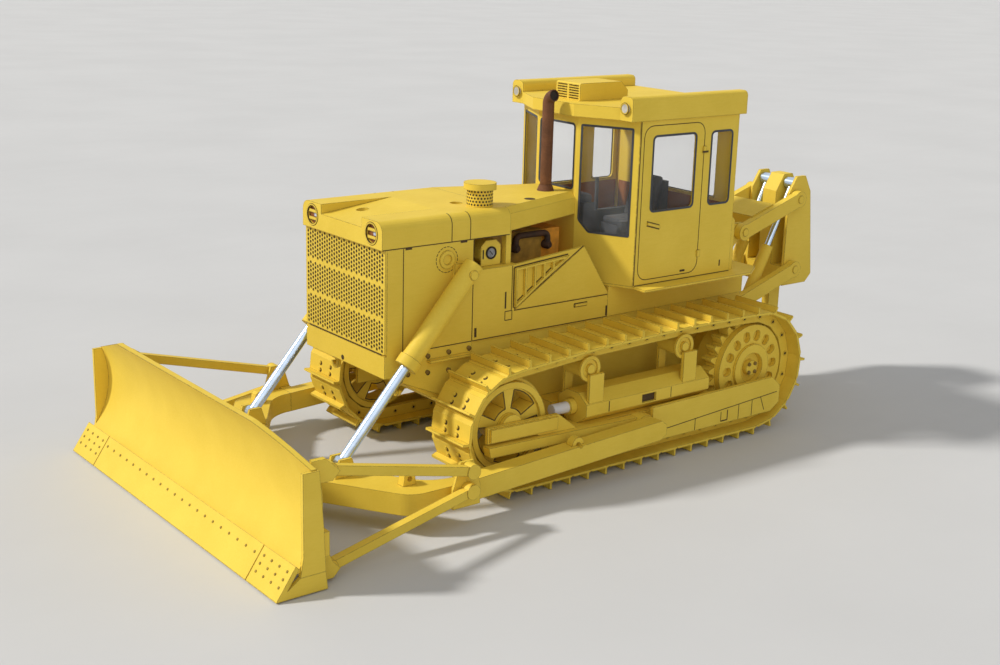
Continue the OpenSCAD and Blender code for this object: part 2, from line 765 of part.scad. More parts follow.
// Track frames: channel over the rollers, idler yoke, recoil housing, guard, pivot boss.
yoke_t = 1.5 * shoe_t;
carriers = [[carrier_f_x, carrier_f_z], [carrier_b_x, carrier_b_z]];
flange_y = track_y + idler_hw + 2 * step_t;
yoke_h = channel_z1 - channel_z0;
channel_in = channel_hw - card_t;
channel_y1 = track_y + channel_hw;
boss_y = push_y0 - run_gap;
box_y1 = channel_y1 + yoke_t + shoe_t;
box_f = idler_x + idler_r * 0.7;
box_z0 = idler_z - yoke_h * 0.36;
box_z1 = idler_z + yoke_h * 0.2;
recoil_hw = channel_hw + yoke_t;
recoil_shares = [
  [-0.4, -1], [0.4, -1], [1, -0.4], [1, 0.4], [0.4, 1], [-0.4, 1], [-1, 0.4], [-1, -0.4]
];
module track_frame() {
  difference() {
    slab(channel_b, channel_f, track_y - channel_hw, channel_y1, channel_z0, channel_z1);
    slab(channel_b - step_t, channel_f + step_t, track_y - channel_in, track_y + channel_in,
      channel_z0 - step_t, channel_z1 - card_t);
  }
  // Idler yoke: plates on both sides of the wheel, and a box beam on the outer one.
  for (k = [-1, 1])
    side([
        [channel_f - yoke_h, channel_z0], [channel_f - yoke_h, channel_z1],
        [channel_f, box_z1], [box_f, box_z1 + step_t], [box_f, box_z0], [channel_f + yoke_h, box_z0 - step_t],
        [channel_f, channel_z0]
      ],
      track_y + k * (channel_hw + yoke_t / 2) - yoke_t / 2,
      track_y + k * (channel_hw + yoke_t / 2) + yoke_t / 2);
  side([
      [channel_f + card_t, box_z0], [channel_f + card_t, box_z1 - step_t], [box_f - card_t, box_z1],
      [box_f - card_t, box_z0 + step_t]
    ], channel_y1, box_y1);
  // Outer rail under the yoke box.
  side([
      [guard_f + step_t, guard_z1 - yoke_h / 1.5], [guard_f + step_t, channel_z1 - step_t],
      [box_f + card_t, box_z0 - step_t], [box_f, box_z0 - yoke_h / 2.2]
    ], channel_y1, guard_y - step_t);
  for (k = [-1, 1])
    ybar(idler_x, idler_z,
      track_y + k * (idler_hw + channel_hw) / 2 - (channel_hw - idler_hw) / 2,
      track_y + k * (idler_hw + channel_hw) / 2 + (channel_hw - idler_hw) / 2,
      idler_rim * 0.3);
  // Carrier roller posts.
  for (c = carriers) {
    slab(c[0] - carrier_r / 2, c[0] + carrier_r / 2, track_y - channel_hw,
      track_y - idler_hw - run_gap, channel_z1, c[1] + carrier_r / 2);
    slab(c[0] - 1.4 * carrier_r, c[0] + carrier_r / 3, flange_y, flange_y + yoke_t, recoil_z,
      c[1] - carrier_r / 2);
  }
  // Eight sided recoil housing with a square slot, and the sleeve of its rod.
  difference() {
    across([for (k = recoil_shares) [track_y + k[0] * recoil_hw, recoil_z + k[1] * recoil_r]],
      recoil_b, recoil_f);
    slab(slot_f - slot_l, slot_f, track_y + recoil_hw - card_t, track_y + recoil_hw + card_t,
      recoil_z - slot_l / 4, recoil_z + slot_l / 5);
  }
  xbar(track_y, recoil_z, recoil_f - step_t, sleeve_f, recoil_rod_r + card_t);
  // Outer guard with its stiffened bracket.
  side([
      [guard_f, guard_z0], [guard_f, guard_z1], [guard_b + yoke_h / 2, guard_z1 + card_t],
      [guard_b, guard_z1 - yoke_h / 3], [guard_b, guard_z0 + yoke_h / 3], [guard_b + yoke_h / 2, guard_z0]
    ], guard_y - yoke_t, guard_y);
  slab(channel_b, guard_f - step_t, channel_y1, guard_y - yoke_t,
    guard_z0 + yoke_t, channel_z1);
  // Pivot boss and pin for the push beam.
  ybar(pivot_x, pivot_z, channel_y1, boss_y, pivot_r + yoke_t);
  ybar(pivot_x, pivot_z, boss_y - step_t, pin_end - run_gap, pivot_r);
}
module track_frames() {
  color(yellow) both() track_frame();
}

// Bottom rollers and carrier rollers.
roller_hw = rail_out + rail_w / 2 - run_gap;
roller_fit = run_gap / 2;
module track_rollers() {
  color(grey)
    both() {
      for (i = [0 : roller_count - 1])
        let (x = roller_f_x + (roller_b_x - roller_f_x) * i / (roller_count - 1)) {
          ybar(x, roller_z, track_y - roller_hw, track_y + roller_hw, roller_r - roller_fit);
          ybar(x, roller_z, track_y - channel_in, track_y + channel_in, roller_r / 2);
        }
      for (c = carriers) {
        ybar(c[0], c[1], track_y - idler_hw, flange_y - step_t, carrier_r - roller_fit);
        difference() {
          ybar(c[0], c[1], track_y + idler_hw + roller_fit, flange_y, carrier_r + card_t);
          ybar(c[0], c[1], flange_y - step_t, flange_y + step_t, carrier_r - step_t);
        }
        ybar(c[0], c[1], track_y - idler_hw - run_gap, flange_y + step_t, carrier_r / 2.2);
      }
    }
}
module recoil_rods() {
  color(white) both() xbar(track_y, recoil_z, sleeve_f, recoil_rod_f, recoil_rod_r);
}

// Main frame: belly box, side plates at the front, ledges, cross beam and tow hook.
inner_y = panel_y - card_t;
hull_z1 = panel_z0;
hook_z = nose_z - 1.6 * hook_r;
hook_x = seam_x - card_t;
module main_frame() {
  color(yellow) {
    side([[hull_b, hull_z0], [belly_f, hull_z0], [seam_x, nose_z], [seam_x, hull_z1], [hull_b, hull_z1]],
      -inner_y, inner_y);
    both() {
      side([
          [side_b, hull_z0 + yoke_h], [belly_f, hull_z0 + yoke_h / 2], [seam_x, nose_z],
          [seam_x, hull_z1], [side_b, hull_z1]
        ], inner_y - step_t, panel_y);
      slab(ledge_b, ledge_f, panel_y - step_t, panel_y + ledge_y, ledge_z, ledge_z + card_t);
      // Open tow hook under the nose.
      translate([hook_x - hook_t, 0, 0])
        rotate([90, 0, 90])
          linear_extrude(hook_t)
            difference() {
              union() {
                translate([hook_y, hook_z]) circle(r = hook_r);
                translate([hook_y - hook_r, hook_z]) square([1.3 * hook_r, nose_z - hook_z]);
              }
              translate([hook_y, hook_z]) circle(r = hook_r * 0.4);
              translate([hook_y, hook_z]) square([2 * hook_r, hook_r * 0.55]);
            }
    }
    slab(beam_x - beam_l / 2, beam_x + beam_l / 2, -track_y + recoil_hw, track_y - recoil_hw,
      channel_z0 + card_t, hull_z0 + step_t);
  }
}

// Rear case under the cab with the two final drive housings.
case_z1 = cab_z0 - card_t;
case_f = fender_x3;
module rear_case() {
  color(yellow) {
    slab(hull_b, case_f, -panel_y, panel_y, hull_z1, case_z1);
    both() ybar(-sprocket_x, sprocket_z, inner_y, drive_y, drive_r);
  }
}

// Engine as one block, and the radiator core behind the grille.
core_b = seam_x + 2 * card_t;
core_f = (seam_x + grille_x) / 2;
module engine_block() {
  color(dark) {
    slab(engine_b, engine_f, -engine_hw, engine_hw, hull_z1, engine_z1);
    slab(core_b, core_f, -inner_y + card_t, inner_y - card_t, panel_z0 + card_t, hood_z0 - card_t);
  }
}
branch_shares = [0.15, 0.5, 0.85];
module manifold() {
  color(brown) {
    xbar(engine_hw + manifold_r, manifold_z, engine_b + manifold_r, manifold_f, manifold_r);
    for (k = branch_shares)
      let (x = engine_b + manifold_r + (manifold_f - engine_b - manifold_r) * k)
        slab(x - manifold_r, x + manifold_r, engine_hw, engine_hw + manifold_r,
          manifold_z - manifold_r * 1.6, manifold_z + manifold_r / 2);
  }
}

// Radiator housing: an open fronted box with the plain panel below it.
module radiator_housing() {
  color(yellow) {
    difference() {
      slab(seam_x, grille_x - card_t, -panel_y, panel_y, panel_z0, hood_z0);
      slab(core_b, grille_x, -inner_y + card_t, inner_y - card_t, panel_z0 + card_t,
        hood_z0 - card_t);
    }
    slab(seam_x, grille_x, -panel_y, panel_y, front_z0, panel_z0);
  }
}

// Perforated grille in folded bands.
band_h = (hood_z0 - grille_z0) / band_count;
hole_dy = 2 * panel_y / (hole_cols + 1);
hole_dz = band_h / (hole_rows + 1);
hole_list = [
  for (b = [0 : band_count - 1]) for (i = [0 : hole_rows - 1]) for (j = [0 : hole_cols - 1])
    [-panel_y + hole_dy * (j + 1), grille_z0 + band_h * b + hole_dz * (i + 0.75 + (j % 2) / 2)]
];
module grille() {
  color(dark)
    translate([grille_x - card_t, 0, 0])
      rotate([90, 0, 90])
        linear_extrude(card_t)
          difference() {
            translate([-panel_y, grille_z0]) square([2 * panel_y, hood_z0 - grille_z0]);
            for (h = hole_list)
              translate(h) circle(r = hole_r, $fn = 16);
          }
}

// Front hood with rounded edges, a scoop between the lamps and two lamp pockets.
hood_in = hood_z1 - scoop_d - 2 * card_t;
hood_profile = concat(
  [[-panel_y, hood_z0], [panel_y, hood_z0]],
  [for (i = [0 : 6]) [panel_y - hood_edge_r + hood_edge_r * cos(i * 15),
    hood_z1 - hood_edge_r + hood_edge_r * sin(i * 15)]],
  [for (i = [0 : 6]) [-panel_y + hood_edge_r - hood_edge_r * sin(i * 15),
    hood_z1 - hood_edge_r + hood_edge_r * cos(i * 15)]]);
lamp_d = 2 * card_t;
hood_holes = [[seam_x - 2 * hood_hole_r, -scoop_hw / 2], [hood_step + 5 * hood_hole_r, scoop_hw * 0.6]];
module hood_front() {
  color(yellow)
    difference() {
      across(hood_profile, hood_step, hood_f);
      slab(hood_step + card_t, seam_x, -inner_y, inner_y, hood_z0 - step_t, hood_in);
      side([[hood_f - scoop_l, hood_z1], [hood_f + step_t, hood_z1 - scoop_d],
          [hood_f + step_t, hood_z1 + step_t], [hood_f - scoop_l, hood_z1 + step_t]],
        -scoop_hw, scoop_hw);
      both() xbar(lamp_y, lamp_z, hood_f - lamp_d, hood_f + step_t, lamp_r);
      for (h = hood_holes) zbar(h[0], h[1], hood_in + card_t / 2, hood_z1 + step_t, hood_hole_r);
    }
}
hood_rear_f_hw = panel_y - card_t;
function hood_taper(k) = [
  [hood_step, hood_rear_f_hw - k], [cab_f, hood_cab_hw - k],
  [cab_f, -hood_cab_hw + k], [hood_step, -hood_rear_f_hw + k]
];
module hood_rear() {
  color(yellow)
    difference() {
      hull() {
        plan(hood_taper(0), hood_rear_z0, hood_z1 - hood_chamfer);
        plan(hood_taper(hood_chamfer), hood_z1 - hood_chamfer, hood_z1);
      }
      plan([
          [hood_step - card_t, hood_rear_f_hw - 2 * card_t], [cab_f + card_t, hood_cab_hw - 2 * card_t],
          [cab_f + card_t, -hood_cab_hw + 2 * card_t], [hood_step - card_t, -hood_rear_f_hw + 2 * card_t]
        ], hood_rear_z0 - step_t, hood_z1 - hood_chamfer - card_t);
    }
}

// Lamps: slatted fronts in the hood's pockets and clear ones at the roof rails' ends.
slat_count = 2;
roof_hw = cab_hw + roof_eave;
roof_lamp_y = roof_hw - roof_rail_w * 0.52;
roof_z1 = cab_z1 + roof_h;
roof_lamp_z = roof_z1;
module lamps() {
  color(clear)
    both() {
      xbar(lamp_y, lamp_z, hood_f - lamp_d, hood_f - lamp_d / 2, lamp_r);
      for (i = [0 : slat_count - 1])
        let (k = (4 * i + 3) / (2 * slat_count + 1) - 1)
          slab(hood_f - lamp_d / 2 - step_t / 5, hood_f - lamp_d / 6,
            lamp_y - lamp_r * 0.8, lamp_y + lamp_r * 0.8,
            lamp_z + k * lamp_r - step_t, lamp_z + k * lamp_r + step_t);
      xbar(roof_lamp_y, roof_lamp_z, roof_side_f, roof_side_f + card_t, roof_lamp_r);
    }
}

// Front side panels with a ring boss, and fender panels with a raised triangular rib.
ring_x_share = 0.39;
ring_z_share = 0.84;
ring_x = side_b + (seam_x - side_b) * ring_x_share;
ring_z = panel_z0 + (hood_z0 - panel_z0) * ring_z_share;
module side_panels() {
  color(yellow)
    both() {
      slab(side_b, seam_x, inner_y, panel_y, panel_z0, hood_z0);
      difference() {
        ybar(ring_x, ring_z, panel_y - step_t, panel_y + step_t, ring_r);
        ybar(ring_x, ring_z, panel_y, panel_y + 2 * step_t, ring_r * 0.55);
      }
    }
}
// Corners of the rib: top front, top rear and foot; its bays lie between the uprights.
tri_a = [fender_x1 - rib_w / 3, fender_z1 - rib_w / 2];
tri_b = [fender_x2 + 3.2 * rib_w, fender_z1 + rib_w / 3];
tri_c = [fender_x1 - rib_w / 2, fender_z3 + rib_w / 3];
tri_bays = 5;
tri_bay = (tri_a[0] - tri_b[0] - 4 * tri_w) / tri_bays;
function tri_line(p, q, x) = p[1] + (q[1] - p[1]) * (x - p[0]) / (q[0] - p[0]);
function tri_top(x) = tri_line(tri_a, tri_b, x) - tri_w;
function tri_low(x) = tri_line(tri_c, tri_b, x) + 1.3 * tri_w;
module fender_panels() {
  color(yellow)
    both() {
      side([
          [side_b, panel_z0], [side_b, fender_z1], [fender_x1, fender_z1], [fender_x2, fender_z2],
          [fender_x3, fender_z3], [fender_x3, panel_z0]
        ], inner_y, panel_y);
      // Narrow top flange that turns inward.
      slab(fender_x1 - rib_w, side_b, panel_y - 2 * rib_w, inner_y + step_t / 2, fender_z1 - card_t,
        fender_z1);
      // Raised lower facet, handle, and a triangular rib with uprights.
      side([[fender_x1 - rib_w / 2, fender_z3], [fender_x2, fender_z2], [fender_x3, fender_z3]],
        panel_y - step_t, panel_y + step_t / 2);
      slab(fender_x2 - rib_w, fender_x2 + 1.4 * rib_w, panel_y - step_t, panel_y + step_t,
        fender_z3 - 1.2 * rib_w, fender_z3 - 0.8 * rib_w);
      difference() {
        side([tri_c, tri_a, tri_b], panel_y - step_t, panel_y + 2 * step_t);
        for (i = [0 : tri_bays - 1])
          let (x0 = tri_a[0] - tri_w - tri_bay * i)
            let (x1 = x0 - tri_bay + (i == tri_bays - 1 ? 0 : tri_w))
              if (tri_low(x1) < tri_top(x1) || tri_low(x0) < tri_top(x0))
                side([[x0, tri_low(x0)], [x0, tri_top(x0)], [x1, tri_top(x1)],
                    [x1, min(tri_low(x1), tri_top(x1) - step_t / 4)]],
                  panel_y - card_t, panel_y + 3 * step_t);
      }
    }
}

// Chamfered gauge box with its dial, and the posts under the rear hood.
post_x = hood_step - rib_w;
module gauge_box() {
  color(yellow) {
    translate([gauge_x, gauge_y, gauge_z])
      rotate([90, 0, 0])
        rotate([0, 0, 22.5])
          cylinder(h = gauge_y - engine_hw, r = gauge_hs, $fn = 8);
    ybar(gauge_x, gauge_z, gauge_y - step_t, gauge_y + step_t, dial_r);
    both()
      slab(post_x, post_x + rib_w, panel_y - 2 * rib_w, panel_y - rib_w, fender_z1, hood_rear_z0);
  }
}

// Air cleaner on the hood and exhaust stack with its bend.
module air_cleaner() {
  color(yellow) {
    zbar(cleaner_x, cleaner_y, hood_z1, hood_z1 + cleaner_h, cleaner_r);
    zbar(cleaner_x, cleaner_y, hood_z1 + cleaner_h - step_t, hood_z1 + cleaner_h + 2 * card_t,
      cleaner_cap_r);
  }
}
module exhaust_stack() {
  color(brown)
    translate([stack_x, stack_y, hood_z1]) {
      cylinder(h = stack_r, r1 = stack_r * 1.5, r2 = stack_r * 1.1);
      cylinder(h = stack_h, r = stack_r);
      translate([0, stack_bend, stack_h])
        rotate([90, 0, -90])
          rotate_extrude(angle = 80)
            translate([stack_bend, 0]) circle(r = stack_r);
    }
}

// Deck with the step plates along both sides.
deck_y = cab_hw + step_w;
module deck() {
  color(yellow) {
    plan([
        [cab_f, -cab_mid_hw], [cab_f, cab_mid_hw], [cab_corner_x, cab_hw], [cab_corner_x, deck_y],
        [deck_b + yoke_h, deck_y], [deck_b, cab_hw], [deck_b, -cab_hw], [deck_b + yoke_h, -deck_y],
        [cab_corner_x, -deck_y], [cab_corner_x, -cab_hw]
      ], cab_z0 - card_t, cab_z0);
  }
}

// Cab walls.
oblique_l = norm([cab_f - cab_corner_x, cab_hw - cab_mid_hw]);
oblique_a = atan2(cab_hw - cab_mid_hw, cab_corner_x - cab_f);
side_y0 = cab_hw - wall_t;
back_x1 = cab_b + wall_t;
oblique_n = oblique_a - 90;
mitre_mid = wall_t * tan(oblique_n / 2);
mitre_end = wall_t / sin(oblique_n);
// Outline of a slanting front window: distance along the wall and height, grown by g.
function oblique_win(g) = [
  [post_w + win_cut - g, front_sill - g], [oblique_l - 1.8 * post_w + g, front_sill - g],
  [oblique_l - 1.8 * post_w + g, front_head + g], [post_w - g, front_head + g],
  [post_w - g, front_sill + win_cut - g]
];
// Local X runs along the left slanting wall from the middle outward, local Z is outward.
module on_oblique() {
  translate([cab_f, cab_mid_hw, 0]) rotate([0, 0, oblique_a]) rotate([90, 0, 0]) children();
}
module cab_front() {
  color(yellow)
    difference() {
      plan([
          [cab_corner_x, cab_hw], [cab_f, cab_mid_hw], [cab_f, -cab_mid_hw], [cab_corner_x, -cab_hw],
          [cab_corner_x, -cab_hw + mitre_end], [cab_f - wall_t, -cab_mid_hw + mitre_mid],
          [cab_f - wall_t, cab_mid_hw - mitre_mid], [cab_corner_x, cab_hw - mitre_end]
        ], cab_z0, cab_z1);
      both()
        on_oblique()
          translate([0, 0, -2 * wall_t]) linear_extrude(4 * wall_t) polygon(oblique_win(0));
      across(round_box(-cab_mid_hw + post_w, cab_mid_hw - post_w, hood_z1 + card_t, front_head, win_r),
        cab_f - 2 * wall_t, cab_f + wall_t);
    }
}
module cab_side() {
  difference() {
    slab(cab_b, cab_corner_x, side_y0, cab_hw, cab_z0, cab_z1);
    side(round_box(door_win_b, door_win_f, side_sill, side_head, win_r),
      side_y0 - wall_t, cab_hw + wall_t);
    side(round_box(rear_win_b, rear_win_f, side_sill, side_head, win_r),
      side_y0 - wall_t, cab_hw + wall_t);
  }
  // Door handle and two hinge bits.
  side([
      [door_f - handle_h, side_sill - handle_h], [door_f - handle_h, side_sill - 1.3 * handle_h],
      [door_f - 2.7 * handle_h, side_sill - 1.8 * handle_h],
      [door_f - 2.7 * handle_h, side_sill - 1.5 * handle_h]
    ], cab_hw - step_t, cab_hw + step_t);
  for (z = [cab_z0 + 3 * hinge_h, side_head - 3 * hinge_h])
    slab(door_b - rib_w / 3, door_b + rib_w / 3, cab_hw - step_t, cab_hw + step_t, z, z + hinge_h);
}
module cab_left() {
  color(yellow) cab_side();
}
module cab_right() {
  color(yellow) mirror([0, 1, 0]) cab_side();
}
module cab_rear() {
  color(yellow)
    difference() {
      union() {
        slab(cab_b, back_x1, -side_y0, side_y0, cab_z0, cab_z1);
        side([
            [cab_b + step_t, cab_z0], [cab_b - bulge_d, cab_z0], [cab_b - bulge_d, bulge_z1 - bulge_d],
            [cab_b, bulge_z1], [cab_b + step_t, bulge_z1]
          ], -side_y0, side_y0);
      }
      across(round_box(-back_win_hw, back_win_hw, side_sill, side_head, win_r),
        cab_b - wall_t, back_x1 + wall_t);
    }
}
// Glazing: film behind each opening, against the walls' inner faces.
module cab_glass() {
  color(clear) {
    both() {
      side(round_box(door_win_b - lap, door_win_f + lap, side_sill - lap, side_head + lap, win_r),
        side_y0 - film_t, side_y0);
      side(round_box(rear_win_b - lap, rear_win_f + lap, side_sill - lap, side_head + lap, win_r),
        side_y0 - film_t, side_y0);
    }
    across(round_box(-back_win_hw - lap, back_win_hw + lap, side_sill - lap, side_head + lap, win_r),
      back_x1, back_x1 + film_t);
    across(
      round_box(-cab_mid_hw + post_w - lap, cab_mid_hw - post_w + lap, hood_z1 + card_t - lap,
        front_head + lap, win_r),
      cab_f - wall_t - film_t, cab_f - wall_t);
    both()
      on_oblique()
        translate([0, 0, -wall_t - film_t]) linear_extrude(film_t) polygon(oblique_win(lap));
  }
}

// Roof: panel with a bowed front, two rounded side rails.
rail_r = rail_h * 0.45;
module roof() {
  color(yellow) {
    plan([
        [roof_b, -roof_hw], [roof_side_f, -roof_hw], [roof_side_f, -roof_hw + roof_rail_w],
        [roof_f, -roof_front_hw], [roof_f, roof_front_hw], [roof_side_f, roof_hw - roof_rail_w],
        [roof_side_f, roof_hw], [roof_b, roof_hw]
      ], cab_z1, roof_z1);
    both()
      across(round_box(roof_hw - roof_rail_w, roof_hw, roof_z1 - 2 * rail_r, roof_z1 + rail_h, rail_r),
        roof_b, roof_side_f);
  }
}
louvre_dz = vent_h / (louvre_count + 1);
module roof_vent() {
  color(yellow)
    difference() {
      side([
          [vent_f - vent_l, roof_z1], [vent_f, roof_z1], [vent_f, roof_z1 + vent_h - step_t],
          [vent_f - step_t, roof_z1 + vent_h], [vent_f - vent_l + vent_h / 2, roof_z1 + vent_h],
          [vent_f - vent_l, roof_z1 + vent_h / 2]
        ], -vent_hw, vent_hw);
      for (i = [0 : louvre_count - 1])
        both()
          slab(vent_f - step_t, vent_f + step_t, vent_hw * 0.08, vent_hw * 0.88,
            roof_z1 + louvre_dz * (i + 0.7), roof_z1 + louvre_dz * (i + 1.15));
    }
}

// Seat, and console with the dash and levers.
module seat() {
  color(grey) {
    slab(seat_x - seat_w / 2, seat_x + seat_w / 2, -seat_w / 2, seat_w / 2, cab_z0, seat_z);
    side([
        [seat_x - seat_w / 2, seat_z - step_t], [seat_x - seat_w / 2 + seat_t, seat_z - step_t],
        [seat_x - seat_w / 2, seat_z + seat_w], [seat_x - seat_w / 2 - seat_t / 2, seat_z + seat_w],
        [seat_x - seat_w / 2 - seat_t / 2, seat_z - step_t]
      ], -seat_w / 2, seat_w / 2);
  }
}
module console() {
  color(grey) {
    slab(dash_x, dash_x + dash_l, -cab_mid_hw, cab_mid_hw, cab_z0, dash_z);
    both()
      slab(seat_x - seat_w / 2, seat_x + seat_w, seat_w / 2 + 2 * card_t, seat_w / 2 + seat_t,
        cab_z0, seat_z + seat_t);
    both()
      zbar(seat_x + seat_w / 2, seat_w / 2 + seat_t / 2 + card_t, seat_z + seat_t - step_t,
        dash_z + seat_t, lever_r);
  }
}

// Brackets on the hood's sides that carry the lift cylinders' trunnions.
lift_bracket_y = lift_y - barrel_r - run_gap;
module lift_brackets() {
  color(yellow)
    both() {
      slab(trunnion_x - bracket_hs, trunnion_x + bracket_hs, panel_y, lift_bracket_y,
        trunnion_z - bracket_hs, trunnion_z + bracket_hs);
      ybar(trunnion_x, trunnion_z, lift_bracket_y - step_t, lift_y + barrel_r + run_gap, trunnion_r);
    }
}

// Ripper pivots.
rear_x = link_x - link_l * cos(link_a);
rear_low_z = low_z + link_l * sin(link_a);
rear_up_z = up_z + link_l * sin(link_a);
plate_y0 = plate_y - plate_t;
arm_y0 = plate_y + run_gap;
arm_y1 = arm_y0 + arm_w;
rip_bore = rip_pin_r + pin_play;
foot_pin = rip_pin_r;
module ripper_support() {
  color(yellow) {
    both() {
      side([
          [hull_b, hull_z0], [hull_b, up_z + link_r], [link_x - link_r / 2, up_z + link_r],
          [link_x - link_r, up_z], [link_x + link_r, up_z - 2 * link_r],
          [link_x + link_r, low_z + 2 * link_r], [link_x - link_r, low_z],
          [link_x - link_r, foot_z + 2 * link_r], [foot_x - link_r, foot_z + link_r / 2],
          [foot_x - link_r, foot_z - link_r / 2], [foot_x, hull_z0]
        ], plate_y0, plate_y);
      ybar(link_x, low_z, plate_y0, arm_y1 + run_gap, rip_pin_r);
      ybar(link_x, up_z, plate_y0, arm_y1 + run_gap, rip_pin_r);
    }
    ybar(foot_x, foot_z, -plate_y0, plate_y0, foot_pin);
    slab(hull_b - 3 * plate_t, hull_b, -plate_y0, plate_y0, hull_z0, up_z);
  }
}

// Push frame: sloping side beams, bends, front legs, clevises, brackets, nose block.
blade_x = tip_x - blade_set;
blade_back = blade_x - blade_t;
nose_f = blade_back - beam_t;
apex_x = nose_f - apex_set;
corner_x = apex_x - corner_set;
eye_x = apex_x - eye_set;
bracket_x = corner_x - bracket_set;
strut_x1 = blade_x - strut_set;
strut_y1 = blade_hw - strut_in;
push_y1 = push_y0 + push_w;
push_c = push_y0 + push_w / 2;
push_z1 = push_z0 + push_h;
pin_end = push_y1 - 2 * card_t;
leg_a = atan2(push_c, corner_set);
leg_dx = leg_w / 2 / sin(leg_a);
// Where the leg's inner and outer edges cross the beam's inner and outer faces.
in_x = apex_x - leg_dx - push_y0 / tan(leg_a);
out_x = apex_x + leg_dx - push_y1 / tan(leg_a);
beam_end = in_x - bend_in_r * tan(leg_a / 2);
bend_steps = 8;
function bend_arc(x, y, r) = [for (i = [0 : bend_steps])
  let (a = 90 - leg_a * i / bend_steps)
  [x - r * tan(leg_a / 2) + r * cos(a), y - r + r * sin(a)]];
in_arc = bend_arc(in_x, push_y0, bend_in_r);
nose_dx = apex_hw / tan(leg_a);
leg_pts = concat(
  [[beam_end, push_y1]], bend_arc(out_x, push_y1, bend_out_r), [[apex_x + leg_dx - nose_dx, apex_hw]],
  [[apex_x - leg_dx - nose_dx, apex_hw]], [for (i = [0 : bend_steps]) in_arc[bend_steps - i]]);
ear_gap = max(eye_w / 2, rod_r) + run_gap / 2;
lug_h = 1.4 * lug_w;
lug_x = corner_x + lug_w / 2;
lug_y = push_y0 - lug_w;
lug_z = push_z1 + lug_h / 2;
boss_x = pivot_x + boss_set;
boss_z = push_z1 + strut_eye_r;
module clevis_ear(y) {
  side([
      [eye_x - ear_hw - ear_t, push_z1 - step_t], [eye_x + ear_hw + ear_t, push_z1 - step_t],
      [eye_x + ear_hw * 0.7, eye_z + ear_hw * 0.7], [eye_x - ear_hw * 0.7, eye_z + ear_hw * 0.7]
    ], y, y + ear_t);
}
module push_beams() {
  color(yellow)
    both()
      difference() {
        union() {
          side([
              [pivot_x - push_h * 0.6, pivot_z - push_h / 4], [pivot_x - push_h * 0.6, pivot_z + push_h / 4],
              [pivot_x - push_h / 4, pivot_z + push_h / 2], [beam_end, push_z1], [beam_end, push_z0],
              [pivot_x - push_h / 4, pivot_z - push_h / 2]
            ], push_y0, push_y1);
          // Bracket on the beam's outer face with the plate that holds the struts.
          slab(bracket_x - bracket_l, beam_end, push_y1 - step_t, strut_y0 - strut_w / 2 - ear_t / 2,
            push_z0 + step_t, push_z1);
          side([
              [bracket_x - bracket_l, push_z0 + step_t], [bracket_x + bracket_l, push_z0 + step_t],
              [bracket_x + bracket_l, push_z1], [bracket_x + strut_eye_r, strut_up_z0 + strut_eye_r],
              [bracket_x - strut_eye_r, strut_up_z0 + strut_eye_r], [bracket_x - bracket_l, push_z1]
            ], strut_y0 - strut_w / 2 - ear_t, strut_y0 - strut_w / 2);
          // Low rounded lug on the beam's top.
          ybar(boss_x, boss_z, push_c - lug_w / 2, push_c + lug_w / 2, strut_eye_r);
          slab(boss_x - strut_eye_r, boss_x + strut_eye_r, push_c - lug_w / 2, push_c + lug_w / 2,
            push_z1 - step_t, boss_z);
        }
        ybar(pivot_x, pivot_z, push_y0 - step_t, pin_end, pivot_r + pin_play);
        ybar(boss_x, boss_z, push_y0 - step_t, push_y1 + step_t, pin_hole);
      }
}
module push_legs() {
  color(yellow)
    both()
      difference() {
        union() {
          plan(leg_pts, push_z0, push_z1);
          clevis_ear(lift_y + ear_gap);
          clevis_ear(lift_y - ear_gap - ear_t);
          side([
              [lug_x - lug_w * 0.8, push_z1 - step_t], [lug_x + lug_w * 0.8, push_z1 - step_t],
              [lug_x + lug_w * 0.6, lug_z + lug_h * 0.3], [lug_x + lug_w / 4, push_z1 + lug_h],
              [lug_x - lug_w / 4, push_z1 + lug_h], [lug_x - lug_w * 0.6, lug_z + lug_h * 0.3]
            ], lug_y - lug_w / 2, lug_y + lug_w / 2);
        }
        ybar(lug_x, lug_z, lug_y - lug_w, lug_y + lug_w, pin_hole);
      }
}
module push_nose() {
  color(yellow)
    plan([
        [apex_x - leg_dx - nose_dx, -apex_hw], [nose_f, -apex_hw], [nose_f, apex_hw],
        [apex_x - leg_dx - nose_dx, apex_hw], [apex_x - leg_dx, 0]
      ], push_z0, push_z1);
}

